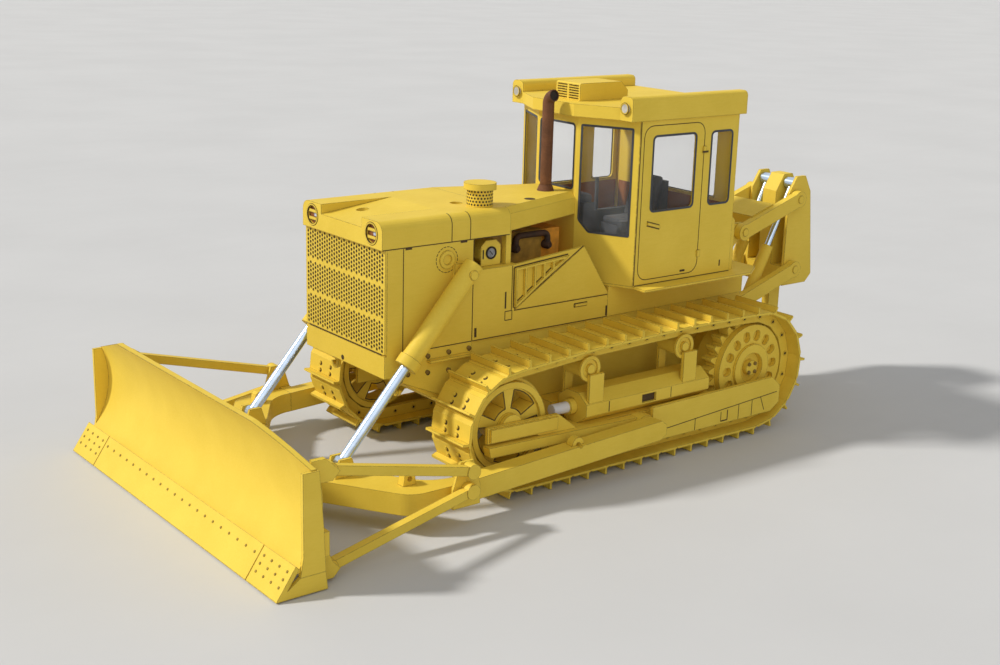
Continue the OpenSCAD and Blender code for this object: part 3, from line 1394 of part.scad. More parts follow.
// Blade: curved mouldboard with sloping shoulders, end plates, back beams and lugs.
blade_cx = blade_x + blade_r;
back_f = blade_x;
end_f = blade_x + end_reach;
shoulder_y = blade_hw - shoulder_w;
bit_y = blade_hw - bit_w;
end_b_share = 0.2;
end_b_x = blade_back + (end_f - blade_back) * end_b_share;
top_beam_z = blade_end_z1 - 2 * beam_t;
low_beam_z = blade_z0 + beam_t;
low_beam_h = 3 * beam_t;
module blade() {
  color(yellow)
    difference() {
      union() {
        translate([0, blade_hw - end_t / 2, 0])
          rotate([90, 0, 0])
            linear_extrude(2 * blade_hw - end_t)
              intersection() {
                difference() {
                  translate([blade_cx, blade_cz]) circle(r = blade_r + blade_t, $fn = 96);
                  translate([blade_cx, blade_cz]) circle(r = blade_r, $fn = 96);
                }
                translate([blade_back - blade_t, blade_z0])
                  square([blade_r, blade_z1 - blade_z0]);
              }
        both()
          side([
              [end_f, blade_end_z1], [end_b_x, blade_end_z1], [blade_back, blade_end_z1 / 2],
              [blade_back - step_t, cheek_z], [end_f + 2 * step_t, cheek_z], [end_f, 2 * cheek_z]
            ], blade_hw - end_t, blade_hw);
        // Box beams along the back.
        slab(blade_back - beam_t, back_f, -blade_hw + end_t, blade_hw - end_t, low_beam_z,
          low_beam_z + low_beam_h);
        slab(blade_back - beam_t / 2, back_f, -shoulder_y, shoulder_y, top_beam_z,
          top_beam_z + beam_t);
        // Strut lugs and the middle socket.
        both() {
          for (z = [strut_up_z1, strut_low_z1])
            let (zt = max(z + 2 * strut_eye_r, low_beam_z + beam_t))
            side([
                [blade_x, z - strut_eye_r], [strut_x1, z - strut_eye_r],
                [strut_x1 - strut_eye_r, z], [strut_x1, z + strut_eye_r],
                [blade_back - beam_t, zt], [blade_x, zt]
              ], strut_y1 + strut_w / 2, strut_y1 + strut_w / 2 + ear_t);
        }
        slab(nose_f, back_f, -apex_hw, apex_hw, push_z0, low_beam_z + low_beam_h);
      }
      // Everything ahead of the curved face goes.
      translate([0, blade_hw - end_t, 0])
        rotate([90, 0, 0])
          linear_extrude(2 * (blade_hw - end_t))
            translate([blade_cx, blade_cz]) circle(r = blade_r, $fn = 96);
      both()
        across([[shoulder_y, blade_z1], [blade_hw + step_t, blade_end_z1],
            [blade_hw + step_t, blade_z1 + step_t], [shoulder_y, blade_z1 + step_t]],
          blade_back - blade_r, blade_back + blade_r);
    }
}
// Cutting edge in three sections ahead of the mouldboard's lower edge; the end bits have cheeks.
knife_x1 = blade_cx - sqrt(pow(blade_r, 2) - pow(blade_cz - blade_z0, 2)) + run_gap;
knife_pts = [
  [tip_x, tip_z], [knife_x1, knife_z1],
  [knife_x1 - knife_t, knife_z1 - knife_t], [tip_x - 1.6 * knife_t, tip_z]
];
module cutting_edge() {
  color(yellow) {
    side(knife_pts, -bit_y + knife_gap, bit_y - knife_gap);
    both() {
      side(knife_pts, bit_y, blade_hw);
      side([[tip_x, tip_z], [end_f + 2 * step_t, cheek_z], [blade_back - step_t, cheek_z],
          [blade_back - knife_t, tip_z]], blade_hw - end_t, blade_hw);
    }
  }
}

// Struts between the frame's brackets and the blade's lugs.
module strut(z0, z1) {
  d = [strut_x1 - bracket_x, strut_y1 - strut_y0, z1 - z0];
  l = norm(d);
  translate([bracket_x, strut_y0, z0])
    rotate([0, 90 - asin(d[2] / l), atan2(d[1], d[0])])
      translate([-strut_s / 2, -strut_s / 2, strut_eye_r / 2]) cube([strut_s, strut_s, l - strut_eye_r]);
  ybar(bracket_x, z0, strut_y0 - strut_w / 2, strut_y0 + strut_w / 2, strut_eye_r);
  ybar(strut_x1, z1, strut_y1 - strut_w / 2, strut_y1 + strut_w / 2, strut_eye_r);
}
module struts() {
  color(yellow)
    both() {
      strut(strut_up_z0, strut_up_z1);
      strut(strut_low_z0, strut_low_z1);
    }
}

// Lift cylinders.
lift_a = atan2(eye_z - trunnion_z, eye_x - trunnion_x);
lift_l = norm([eye_x - trunnion_x, trunnion_z - eye_z]);
rod_l = lift_l - rod_in;
bore_start = trunnion_r + 3 * step_t;
module lift_barrel() {
  difference() {
    lean(trunnion_x, lift_y, trunnion_z, lift_a) {
      translate([0, 0, -barrel_back]) cylinder(h = barrel_l + barrel_back, r = barrel_r);
      translate([0, 0, barrel_l - gland_l]) cylinder(h = gland_l, r = barrel_r + gland_t);
    }
    lean(trunnion_x, lift_y, trunnion_z, lift_a)
      translate([0, 0, bore_start]) cylinder(h = barrel_l, r = rod_r + pin_play);
    ybar(trunnion_x, trunnion_z, lift_y - 2 * barrel_r, lift_y + 2 * barrel_r, trunnion_r + pin_play);
  }
}
module lift_rod() {
  lean(trunnion_x, lift_y, trunnion_z, lift_a)
    translate([0, 0, lift_l - rod_l]) cylinder(h = rod_l - eye_r / 2, r = rod_r);
  ybar(eye_x, eye_z, lift_y - eye_w / 2, lift_y + eye_w / 2, eye_r);
}
module left_lift_barrel() {
  color(yellow) lift_barrel();
}
module left_lift_rod() {
  color(chrome) lift_rod();
}
module right_lift_barrel() {
  color(yellow) mirror([0, 1, 0]) lift_barrel();
}
module right_lift_rod() {
  color(chrome) mirror([0, 1, 0]) lift_rod();
}

// Ripper links: two lower arms, and an upper link that is a box with forked ends.
bar_hw = link_r * 0.86;
link_rise = rear_low_z - low_z;
// Point at a share k along a link that starts at height z, moved off its line by h.
function on_link(z, k, h) = [
  link_x - k * link_l * cos(link_a) + h * sin(link_a), z + k * link_l * sin(link_a) + h * cos(link_a)
];
module link_arm(z) {
  translate([0, arm_y1, 0])
    rotate([90, 0, 0])
      linear_extrude(arm_w)
        difference() {
          union() {
            translate([link_x, z]) circle(r = link_r);
            translate([rear_x, z + link_rise]) circle(r = link_r);
            polygon([on_link(z, 0, bar_hw), on_link(z, 1, bar_hw),
              on_link(z, 1, -bar_hw), on_link(z, 0, -bar_hw)]);
          }
          translate([link_x, z]) circle(r = rip_bore);
          translate([rear_x, z + link_rise]) circle(r = rip_bore);
        }
}
box_l0_share = 0.22;
box_l1_share = 0.6;
box_h = bar_hw + step_t;
module ripper_arms() {
  color(yellow) both() link_arm(low_z);
}
module ripper_link() {
  color(yellow) {
    both() link_arm(up_z);
    side([on_link(up_z, box_l0_share, box_h), on_link(up_z, box_l1_share, box_h),
        on_link(up_z, box_l1_share, -box_h), on_link(up_z, box_l0_share, -box_h)],
      -arm_y0 - step_t, arm_y0 + step_t);
  }
}

// Ripper post: two outer plates, middle web, rear plate and lower block.
post_top = -post_rear + post_lean;
post_pts = [
  [post_f, post_z0], [post_f, post_z1 - 2 * link_r], [top_x + link_r / 2, post_z1],
  [top_x - link_r, post_z1], [post_top, post_z1 - 2 * link_r], [-post_rear, post_z0 + link_r],
  [-post_rear + link_r, post_z0]
];
post_block_h = 2.4 * link_r;
module ripper_beam() {
  color(yellow) {
    both() {
      side(post_pts, plate_y0, plate_y);
      for (z = [rear_low_z, rear_up_z])
        ybar(rear_x, z, plate_y0, arm_y1 + run_gap, rip_pin_r);
    }
    side(post_pts, -web_hw, web_hw);
    side([
        [post_top, post_z1 - 2 * link_r], [post_top + plate_t, post_z1 - 2 * link_r],
        [-post_rear + plate_t, post_z0 + link_r], [-post_rear, post_z0 + link_r]
      ], -plate_y0 - step_t, plate_y0 + step_t);
    slab(-post_rear + link_r, post_f, -plate_y0 - step_t, plate_y0 + step_t, post_z0,
      post_z0 + post_block_h);
  }
}
shank_b = post_f - 1.4 * shank_w;
module ripper_shank() {
  color(yellow)
    side([
        [shank_b, post_z0], [shank_b, shank_z0 + 2 * shank_w],
        [shank_b + shank_w, shank_z0 + shank_w / 2], [post_f + shank_tip - shank_w / 2, shank_z0],
        [post_f + shank_tip, shank_z0], [shank_b + 1.6 * shank_w, shank_z0 + shank_w],
        [shank_b + shank_w, shank_z0 + 2.2 * shank_w], [shank_b + shank_w, post_z0]
      ], -shank_hw, shank_hw);
}

// Ripper cylinders.
rip_a = atan2(top_z - foot_z, top_x - foot_x);
rip_l = norm([top_x - foot_x, top_z - foot_z]);
rip_eye_w = 2 * rip_barrel_r;
rip_start = rip_pin_r + 2 * step_t;
module rip_barrel() {
  difference() {
    lean(foot_x, rip_y, foot_z, rip_a) {
      translate([0, 0, -rip_barrel_r]) cylinder(h = rip_barrel_l + rip_barrel_r, r = rip_barrel_r);
    }
    lean(foot_x, rip_y, foot_z, rip_a)
      translate([0, 0, rip_start]) cylinder(h = rip_barrel_l, r = rip_rod_r + pin_play);
    ybar(foot_x, foot_z, rip_y - 2 * rip_barrel_r, rip_y + 2 * rip_barrel_r, foot_pin + pin_play);
  }
}
module rip_rod() {
  lean(foot_x, rip_y, foot_z, rip_a)
    translate([0, 0, rip_l - rip_rod_l]) cylinder(h = rip_rod_l - rip_rod_r, r = rip_rod_r);
  ybar(top_x, top_z, rip_y - rip_eye_w / 2, rip_y + rip_eye_w / 2, rip_barrel_r);
}
module left_ripper_barrel() {
  color(yellow) rip_barrel();
}
module left_ripper_rod() {
  color(chrome) rip_rod();
}
module right_ripper_barrel() {
  color(yellow) mirror([0, 1, 0]) rip_barrel();
}
module right_ripper_rod() {
  color(chrome) mirror([0, 1, 0]) rip_rod();
}

translate([-x_mid, 0, 0]) {
  main_frame();
  rear_case();
  engine_block();
  manifold();
  radiator_housing();
  grille();
  hood_front();
  hood_rear();
  lamps();
  side_panels();
  fender_panels();
  gauge_box();
  air_cleaner();
  exhaust_stack();
  deck();
  cab_front();
  cab_left();
  cab_right();
  cab_rear();
  cab_glass();
  roof();
  roof_vent();
  seat();
  console();
  left_track();
  right_track();
  sprockets();
  idlers();
  track_frames();
  track_rollers();
  recoil_rods();
  lift_brackets();
  ripper_support();
  push_beams();
  push_legs();
  push_nose();
  blade();
  cutting_edge();
  struts();
  left_lift_barrel();
  left_lift_rod();
  right_lift_barrel();
  right_lift_rod();
  ripper_arms();
  ripper_link();
  ripper_beam();
  ripper_shank();
  left_ripper_barrel();
  left_ripper_rod();
  right_ripper_barrel();
  right_ripper_rod();
}
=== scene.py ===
"""Finishes and small fittings for a card model bulldozer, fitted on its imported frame."""

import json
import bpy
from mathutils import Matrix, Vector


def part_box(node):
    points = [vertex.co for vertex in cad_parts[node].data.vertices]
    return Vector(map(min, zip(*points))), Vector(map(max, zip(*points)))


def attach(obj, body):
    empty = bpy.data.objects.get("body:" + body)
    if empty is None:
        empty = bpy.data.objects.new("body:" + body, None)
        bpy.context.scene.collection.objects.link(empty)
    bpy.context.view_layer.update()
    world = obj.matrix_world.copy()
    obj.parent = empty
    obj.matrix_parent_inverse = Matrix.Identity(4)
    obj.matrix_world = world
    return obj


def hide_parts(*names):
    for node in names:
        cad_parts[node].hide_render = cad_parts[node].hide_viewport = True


bl_info = {
    "name": "Card bulldozer fittings",
    "version": (1, 0, 0),
    "blender": (4, 5, 0),
    "location": "3D View > Sidebar > Bulldozer",
    "description": "Adds bolts, pins, seams, window trims, cab fittings and finishes to a card bulldozer",
    "category": "Object",
}

from math import asin, atan2, cos, hypot, pi, radians, sin

import bpy
from bpy.props import FloatProperty, FloatVectorProperty, IntProperty, PointerProperty
from mathutils import Matrix, Vector

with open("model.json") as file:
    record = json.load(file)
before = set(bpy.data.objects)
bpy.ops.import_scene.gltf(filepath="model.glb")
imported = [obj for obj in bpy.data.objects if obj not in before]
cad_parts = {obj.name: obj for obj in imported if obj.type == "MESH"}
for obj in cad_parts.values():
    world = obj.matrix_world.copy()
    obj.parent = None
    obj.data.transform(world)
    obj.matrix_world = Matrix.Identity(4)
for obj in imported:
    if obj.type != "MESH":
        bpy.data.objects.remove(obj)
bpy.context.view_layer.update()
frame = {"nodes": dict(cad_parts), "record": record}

MM = 0.001
# The drawing's zero line lies this far behind the middle of the whole part, in millimetres.
MID_X = 14.2
UP = (0, 0, 1)
FORWARD = (1, 0, 0)
REARWARD = (-1, 0, 0)
LEFTWARD = (0, 1, 0)
SIGNS = (1, -1)
SIDES = (("left", 1), ("right", -1))
# Faces in the drawing, in millimetres: sides of the hull, cab and track guard, and the nose.
HULL_Y = 23.4
CAB_Y = 31.0
GUARD_Y = 47.3
NOSE_X = 89.0
# In metres: height of a printed disc, reach of the ink at an edge, depth of the card's fibres.
PRINT_H = 0.06 * MM
INK_REACH = 0.42 * MM
FIBRE_H = 0.04 * MM
# Scale of the card's fibres.
FIBRE_SCALE = 2600


def at(x, y, z):
    """Point of the drawing, in millimetres, as a place in the frame, in metres."""
    return Vector(((x - MID_X) * MM, y * MM, z * MM))


def colour_prop(text, value):
    return FloatVectorProperty(
        name=text, description=text, default=value, size=3, min=0, max=1, subtype="COLOR")


def length_prop(text, value):
    return FloatProperty(
        name=text, description=text, default=value * MM, min=0, unit="LENGTH", precision=5)


def number_prop(text, value, kind="NONE"):
    return FloatProperty(name=text, description=text, default=value, subtype=kind)


class CardColours(bpy.types.PropertyGroup):
    """Colours of the printed card, wire, film and ink, and of painted shade and painted glints."""
    yellow: colour_prop("Face of the yellow card", (0.82, 0.595, 0.068))
    yellow_deep: colour_prop("Darker patches of the yellow card", (0.74, 0.525, 0.050))
    # The ink also colours painted shadows beside bolts and painted shade in holes, louvres and the rib's
    # bays.
    ink: colour_prop("Lines at folds and seams", (0.085, 0.052, 0.016))
    brown: colour_prop("Exhaust stack and manifold", (0.185, 0.074, 0.030))
    brown_deep: colour_prop("Soot on the brown card", (0.080, 0.033, 0.015))
    grey: colour_prop("Seat and console", (0.078, 0.084, 0.097))
    grey_deep: colour_prop("Shaded patches of the grey card", (0.034, 0.037, 0.045))
    white: colour_prop("Recoil rods", (0.80, 0.80, 0.80))
    white_deep: colour_prop("Handled patches of the white paper", (0.66, 0.68, 0.72))
    # The dark colour also paints the shade inside holes, bores and the stack's mouth.
    dark: colour_prop("Engine, grille core and openings", (0.030, 0.022, 0.016))
    dark_deep: colour_prop("Deepest patches of the dark card", (0.010, 0.008, 0.007))
    lining: colour_prop("Brown lining inside the cab", (0.30, 0.102, 0.024))
    lining_deep: colour_prop("Shaded patches of the lining", (0.17, 0.058, 0.016))
    rubber: colour_prop("Grey strips around the windows", (0.070, 0.075, 0.085))
    rubber_deep: colour_prop("Shaded patches of the strips", (0.035, 0.038, 0.045))
    wire: colour_prop("Bright wire of the cylinder rods", (0.58, 0.70, 0.86))
    # Partly painted light: this bright orange also stands in for sunlight bounced between the walls under
    # the hood.
    bay: colour_prop("Orange brown card under the hood", (0.86, 0.36, 0.022))
    block: colour_prop("Dull yellow brown card of the engine", (0.50, 0.28, 0.034))
    dot: colour_prop("Bolts printed on the cutting edge", (0.40, 0.27, 0.035))
    # The bolts' dark tone is painted shade.
    bolt: colour_prop("Shaded bolts of the side plates", (0.26, 0.165, 0.030))
    dial: colour_prop("Grey face of the gauge", (0.36, 0.37, 0.39))
    # The glints are painted reflections.
    glint: colour_prop("Blue glints in the lamps", (0.42, 0.50, 0.66))
    glint_pale: colour_prop("Paler patches of the glints", (0.62, 0.68, 0.80))
    film: colour_prop("Clear film in the windows", (0.74, 0.79, 0.80))
    lamp: colour_prop("Reflector of the lamps", (0.70, 0.68, 0.62))
    floor: colour_prop("Pale floor under the model", (0.62, 0.625, 0.63))
    backdrop: colour_prop("Pale backdrop behind the floor", (0.80, 0.80, 0.80))


class TrackSizes(bpy.types.PropertyGroup):
    """Running gear: what sits on the tracks' shoes and rails."""
    middle: length_prop("Distance of a track's middle from the middle plane", 37.6)
    shoes: IntProperty(name="Shoes", description="Shoes in one track", default=42, min=20, max=80)
    shoe_out: length_prop("Shoe face outside the pitch line", 2.9)
    rail_face: length_prop("Rail's outer face from the track's middle", 4.6)
    bolt_r: length_prop("Radius of a shoe bolt", 0.7)
    bolt_h: length_prop("Height of a shoe bolt", 0.34)
    bolt_gauge: length_prop("Shoe bolts from the track's middle", 3.2)
    pin_r: length_prop("Radius of a link pin's end", 1.0)
    pin_h: length_prop("Height of a link pin's end", 0.22)


class PanelSizes(bpy.types.PropertyGroup):
    """Panels of the tractor and blade: seams, bolts, holes, rings and the manifold's pipe."""
    seam_w: length_prop("Width of an inked seam", 0.28)
    seam_h: length_prop("Height of an inked seam", 0.05)
    bolt_r: length_prop("Radius of a panel bolt", 0.72)
    bolt_h: length_prop("Height of a panel bolt", 0.46)
    dot_r: length_prop("Radius of a bolt on the cutting edge", 0.42)
    dot_h: length_prop("Height of a bolt on the cutting edge", 0.18)
    hole_r: length_prop("Radius of a hole in the air cleaner", 0.33)
    bezel_w: length_prop("Width of the rings round the lamps", 0.5)
    pipe_r: length_prop("Radius of the manifold's pipe", 1.05)
    pipe_bend: length_prop("Radius of the bends of the manifold's pipe", 1.8)
    pipe_leg: length_prop("Straight length of the legs of the manifold's pipe", 2.4)


class CabSizes(bpy.types.PropertyGroup):
    """Cab: window trims and lining."""
    trim_w: length_prop("Width of the strips round the windows", 0.75)
    trim_h: length_prop("Height of the strips round the windows", 0.16)
    lining_t: length_prop("Thickness of the lining plates", 0.3)


class StageSizes(bpy.types.PropertyGroup):
    """Camera and light."""
    lens: number_prop("Focal length on a 36 mm wide sensor, in millimetres", 51.47)
    yaw: number_prop("Camera's heading", radians(231.78), "ANGLE")
    pitch: number_prop("Camera's tilt", radians(-15.62), "ANGLE")
    roll: number_prop("Camera's roll", radians(1.65), "ANGLE")
    sky: number_prop("Strength of the even light", 0.40)
    key: number_prop("Strength of the key light", 2.75)
    fill: number_prop("Strength of the soft fill light", 0.45)


# Node groups and finishes

def new_group(name, inputs, outputs):
    """Shader node group with named float inputs and outputs."""
    group = bpy.data.node_groups.new(name, "ShaderNodeTree")
    for label, value in inputs:
        socket = group.interface.new_socket(name=label, in_out="INPUT", socket_type="NodeSocketFloat")
        socket.default_value = value
    for label in outputs:
        group.interface.new_socket(name=label, in_out="OUTPUT", socket_type="NodeSocketFloat")
    return group, group.nodes.new("NodeGroupInput"), group.nodes.new("NodeGroupOutput")


def feed(tree, socket, value):
    """Link an output to a socket, or set the socket's own value."""
    if isinstance(value, bpy.types.NodeSocket):
        tree.links.new(value, socket)
    elif isinstance(value, tuple):
        socket.default_value = (*value, 1)
    else:
        socket.default_value = value


def math_node(tree, operation, first, second):
    node = tree.nodes.new("ShaderNodeMath")
    node.operation = operation
    feed(tree, node.inputs[0], first)
    feed(tree, node.inputs[1], second)
    return node.outputs[0]


def spread(tree, value, low, high, out_low=0.0, out_high=1.0):
    node = tree.nodes.new("ShaderNodeMapRange")
    tree.links.new(value, node.inputs["Value"])
    labels = ("From Min", "From Max", "To Min", "To Max")
    for label, number in zip(labels, (low, high, out_low, out_high)):
        node.inputs[label].default_value = number
    return node.outputs["Result"]


def noise_of(tree, vector, scale, detail, stretch=None):
    node = tree.nodes.new("ShaderNodeTexNoise")
    node.inputs["Detail"].default_value = detail
    if stretch:
        mapping = tree.nodes.new("ShaderNodeMapping")
        mapping.inputs["Scale"].default_value = stretch
        tree.links.new(vector, mapping.inputs["Vector"])
        vector = mapping.outputs["Vector"]
    tree.links.new(vector, node.inputs["Vector"])
    tree.links.new(scale, node.inputs["Scale"])
    return node.outputs[0]


def build_card_grain():
    """Fibres, soft patches and handling marks of card."""
    group, given, out = new_group(
        "card_grain", (("Fibre Scale", FIBRE_SCALE), ("Patch Scale", 70)), ("Fibre", "Patch", "Marks"))
    place = group.nodes.new("ShaderNodeTexCoord").outputs["Object"]
    fibre_scale, patch_scale = given.outputs["Fibre Scale"], given.outputs["Patch Scale"]
    fine = noise_of(group, place, fibre_scale, 2.0)
    long_fibre = noise_of(group, place, fibre_scale, 1.0, (0.12, 0.5, 0.9))
    both = math_node(group, "MULTIPLY", math_node(group, "ADD", fine, long_fibre), 0.5)
    patch = noise_of(group, place, patch_scale, 4.0)
    marks = noise_of(group, place, math_node(group, "MULTIPLY", patch_scale, 4.5), 5.0)
    group.links.new(spread(group, both, 0.32, 0.68), out.inputs["Fibre"])
    group.links.new(spread(group, patch, 0.35, 0.65), out.inputs["Patch"])
    group.links.new(spread(group, marks, 0.60, 0.74), out.inputs["Marks"])


def build_ink_edges():
    """Mask along folds and cut edges, broken up a little."""
    group, given, out = new_group("ink_edges", (("Break Scale", 900.0),), ("Edge",))
    soft = group.nodes.new("ShaderNodeBevel")
    soft.samples = 4
    soft.inputs["Radius"].default_value = INK_REACH
    sharp = group.nodes.new("ShaderNodeNewGeometry")
    facing = group.nodes.new("ShaderNodeVectorMath")
    facing.operation = "DOT_PRODUCT"
    group.links.new(soft.outputs[0], facing.inputs[0])
    group.links.new(sharp.outputs["Normal"], facing.inputs[1])
    mask = spread(group, facing.outputs["Value"], 0.97, 0.86)
    place = group.nodes.new("ShaderNodeTexCoord").outputs["Object"]
    broken = spread(group, noise_of(group, place, given.outputs["Break Scale"], 2.0), 0.22, 0.48)
    group.links.new(math_node(group, "MULTIPLY", mask, broken), out.inputs["Edge"])


def mix_colour(tree, factor, first, second):
    node = tree.nodes.new("ShaderNodeMix")
    node.data_type = "RGBA"
    tree.links.new(factor, node.inputs[0])
    feed(tree, node.inputs[6], first)
    feed(tree, node.inputs[7], second)
    return node.outputs[2]


def new_finish(name):
    finish = bpy.data.materials.new(name)
    finish.use_nodes = True
    return finish, finish.node_tree, finish.node_tree.nodes["Principled BSDF"]


def place_group(tree, name, **values):
    node = tree.nodes.new("ShaderNodeGroup")
    node.node_tree = bpy.data.node_groups[name]
    for label, value in values.items():
        node.inputs[label.replace("_", " ")].default_value = value
    return node.outputs


def rough_fibres(tree, shader, fibre, low, high):
    """Roughness that changes with the fibres."""
    tree.links.new(spread(tree, fibre, 0, 1, low, high), shader.inputs["Roughness"])


def card_finish(name, light, deep, ink, edge_share, rough, patch, bump=0.22):
    """Printed card: patches, fibres, handling marks and inked edges."""
    _, tree, shader = new_finish(name)
    grain = place_group(tree, "card_grain", Patch_Scale=patch)
    tone = math_node(tree, "ADD", math_node(tree, "MULTIPLY", grain["Patch"], 0.55),
                     math_node(tree, "MULTIPLY", grain["Fibre"], 0.35))
    face = mix_colour(tree, tone, light, deep)
    marked = mix_colour(tree, math_node(tree, "MULTIPLY", grain["Marks"], 0.22), face, deep)
    edge = place_group(tree, "ink_edges")["Edge"]
    inked = mix_colour(tree, math_node(tree, "MULTIPLY", edge, edge_share), marked, ink)
    tree.links.new(inked, shader.inputs["Base Color"])
    rough_fibres(tree, shader, grain["Fibre"], rough - 0.07, rough + 0.08)
    relief = tree.nodes.new("ShaderNodeBump")
    relief.inputs["Strength"].default_value = bump
    relief.inputs["Distance"].default_value = FIBRE_H
    tree.links.new(grain["Fibre"], relief.inputs["Height"])
    tree.links.new(relief.outputs[0], shader.inputs["Normal"])
    shader.inputs["Specular IOR Level"].default_value = 0.32


def plain_finish(name, colour, share, patch, fibre, low, high):
    """One colour with patches of a share of it, its roughness between two values."""
    finish, tree, shader = new_finish(name)
    grain = place_group(tree, "card_grain", Patch_Scale=patch, Fibre_Scale=fibre)
    face = mix_colour(tree, grain["Patch"], tuple(colour), tuple(channel * share for channel in colour))
    tree.links.new(face, shader.inputs["Base Color"])
    rough_fibres(tree, shader, grain["Fibre"], low, high)
    return finish, tree, shader, grain


def wire_finish(name, colour):
    """Bright wire with dull patches and fine scratches."""
    *_, shader, _ = plain_finish(name, colour, 0.86, 260, 4200, 0.20, 0.27)
    shader.inputs["Metallic"].default_value = 0.9


def film_finish(name, colour):
    """Clear film, a little hazy in patches."""
    _, tree, shader, grain = plain_finish(name, colour, 1.25, 45, FIBRE_SCALE, 0.05, 0.12)
    tree.links.new(spread(tree, grain["Patch"], 0, 1, 0.015, 0.045), shader.inputs["Alpha"])


def zone_finish(name, first, steps, rough):
    """Card in zones along X: the first colour at the rear, then a new one from each step's place on."""
    _, tree, shader = new_finish(name)
    split = tree.nodes.new("ShaderNodeSeparateXYZ")
    tree.links.new(tree.nodes.new("ShaderNodeTexCoord").outputs["Object"], split.inputs[0])
    grain = place_group(tree, "card_grain", Patch_Scale=260.0)
    face, shade = first, tuple(c * 0.6 for c in first)
    for place, colour in steps:
        ahead = spread(tree, split.outputs["X"], place, place + 0.5 * MM)
        face = mix_colour(tree, ahead, face, colour)
        shade = mix_colour(tree, ahead, shade, tuple(c * 0.55 for c in colour))
    tree.links.new(mix_colour(tree, grain["Patch"], face, shade), shader.inputs["Base Color"])
    rough_fibres(tree, shader, grain["Fibre"], rough - 0.06, rough + 0.08)


# Modelling helpers

def mm(*lengths):
    """Lengths in millimetres, as metres."""
    return [length * MM for length in lengths]


def clear_choice():
    """Object mode with nothing selected."""
    if bpy.context.object and bpy.context.object.mode != "OBJECT":
        bpy.ops.object.mode_set(mode="OBJECT")
    bpy.ops.object.select_all(action="DESELECT")


def edit_all(kind="FACE"):
    """Edit mode with everything selected."""
    bpy.ops.object.mode_set(mode="EDIT")
    bpy.ops.mesh.select_mode(type=kind)
    bpy.ops.mesh.select_all(action="SELECT")


def edit_top(piece):
    """Edit mode with the faces selected that look up."""
    edit_all()
    bpy.ops.mesh.select_all(action="DESELECT")
    bpy.ops.object.mode_set(mode="OBJECT")
    found = 0
    for face in piece.data.polygons:
        face.select = face.normal.z > 0.9
        found += face.select
    if not found:
        raise RuntimeError(f"no face of {piece.name} looks up")
    bpy.ops.object.mode_set(mode="EDIT")


def done_editing():
    bpy.ops.object.mode_set(mode="OBJECT")
    bpy.ops.object.transform_apply(location=True, rotation=True, scale=True)


def keep_rim(width):
    """Strip along the outline of the selected face, in place of the face."""
    bpy.ops.mesh.inset(thickness=width)
    bpy.ops.mesh.delete(type="FACE")


def thicken(piece, height):
    """Thickness for a flat piece, half of it to each side."""
    bpy.ops.object.mode_set(mode="OBJECT")
    solid = piece.modifiers.new("thickness", "SOLIDIFY")
    solid.thickness = height
    solid.offset = 0
    bpy.ops.object.modifier_apply(modifier=solid.name)
    return piece


def dome(piece, width, rise):
    """Piece with the middle of its top raised, and a slope of the given width round it."""
    edit_top(piece)
    bpy.ops.mesh.inset(thickness=width)
    bpy.ops.transform.translate(value=(0, 0, rise))
    done_editing()
    return piece


def model_disc(radius, height, sides):
    """Disc that stands on the XY plane."""
    clear_choice()
    bpy.ops.mesh.primitive_cylinder_add(
        vertices=sides, radius=radius, depth=height, location=(0, 0, height / 2))
    return bpy.context.object


def model_bolt(radius, height, sides):
    """Domed bolt head that stands on the XY plane."""
    return dome(model_disc(radius, height, sides), radius * 0.38, height * 0.4)


def model_ring(radius, height, width, depth, sides):
    """Ring with a sunk floor that stands on the XY plane."""
    ring = model_disc(radius, height, sides)
    edit_top(ring)
    bpy.ops.mesh.inset(thickness=width)
    bpy.ops.mesh.extrude_region_move(TRANSFORM_OT_translate={"value": (0, 0, -depth)})
    done_editing()
    return ring


def model_strip():
    """Strip one unit long and wide that stands on the XY plane, raised along its middle."""
    clear_choice()
    bpy.ops.mesh.primitive_cube_add(size=1, location=(0, 0, 0.5))
    return dome(bpy.context.object, 0.16, 0.25)


def model_plate(middle, size, bevel, lean=0):
    """Plate with rounded edges, in millimetres of the drawing, leaning back by an angle in degrees."""
    clear_choice()
    bpy.ops.mesh.primitive_cube_add(size=1)
    plate = bpy.context.object
    plate.scale = mm(*size)
    bpy.ops.object.transform_apply(location=False, rotation=False, scale=True)
    edit_all()
    bpy.ops.mesh.bevel(offset=bevel * MM, segments=2, affect="EDGES")
    done_editing()
    plate.data.transform(Matrix.Translation(at(*middle)) @ Matrix.Rotation(radians(-lean), 4, "Y"))
    return plate


def model_circle(sides, radius):
    """Flat round face about the origin, in the XY plane."""
    clear_choice()
    bpy.ops.mesh.primitive_circle_add(vertices=sides, radius=radius, fill_type="NGON")
    return bpy.context.object


def model_face(points):
    """Flat face with its corners at the given points of the XY plane, in millimetres."""
    piece = model_circle(len(points), MM)
    for vertex, (x, y) in zip(piece.data.vertices, points):
        vertex.co = (x * MM, y * MM, 0)
    return piece


def box_corners(wide, high):
    """Corners of a box about the origin, from its half width and half height."""
    return (-wide, -high), (wide, -high), (wide, high), (-wide, high)


def model_trim(points, radius, width, height, place):
    """Flat strip inside a closed outline with rounded corners, both in millimetres, set at its place."""
    trim = model_face(points)
    edit_all("VERT")
    bpy.ops.mesh.bevel(offset=radius * MM, segments=4, affect="VERTICES")
    bpy.ops.mesh.select_all(action="SELECT")
    bpy.ops.mesh.normals_make_consistent(inside=False)
    edit_all()
    keep_rim(width)
    thicken(trim, height)
    trim.data.transform(place)
    return trim


def model_flat_ring(inner, outer, height):
    """Flat ring about the origin, in the XY plane, in millimetres."""
    ring = model_circle(32, outer * MM)
    edit_all()
    keep_rim((outer - inner) * MM)
    return thicken(ring, height * MM)


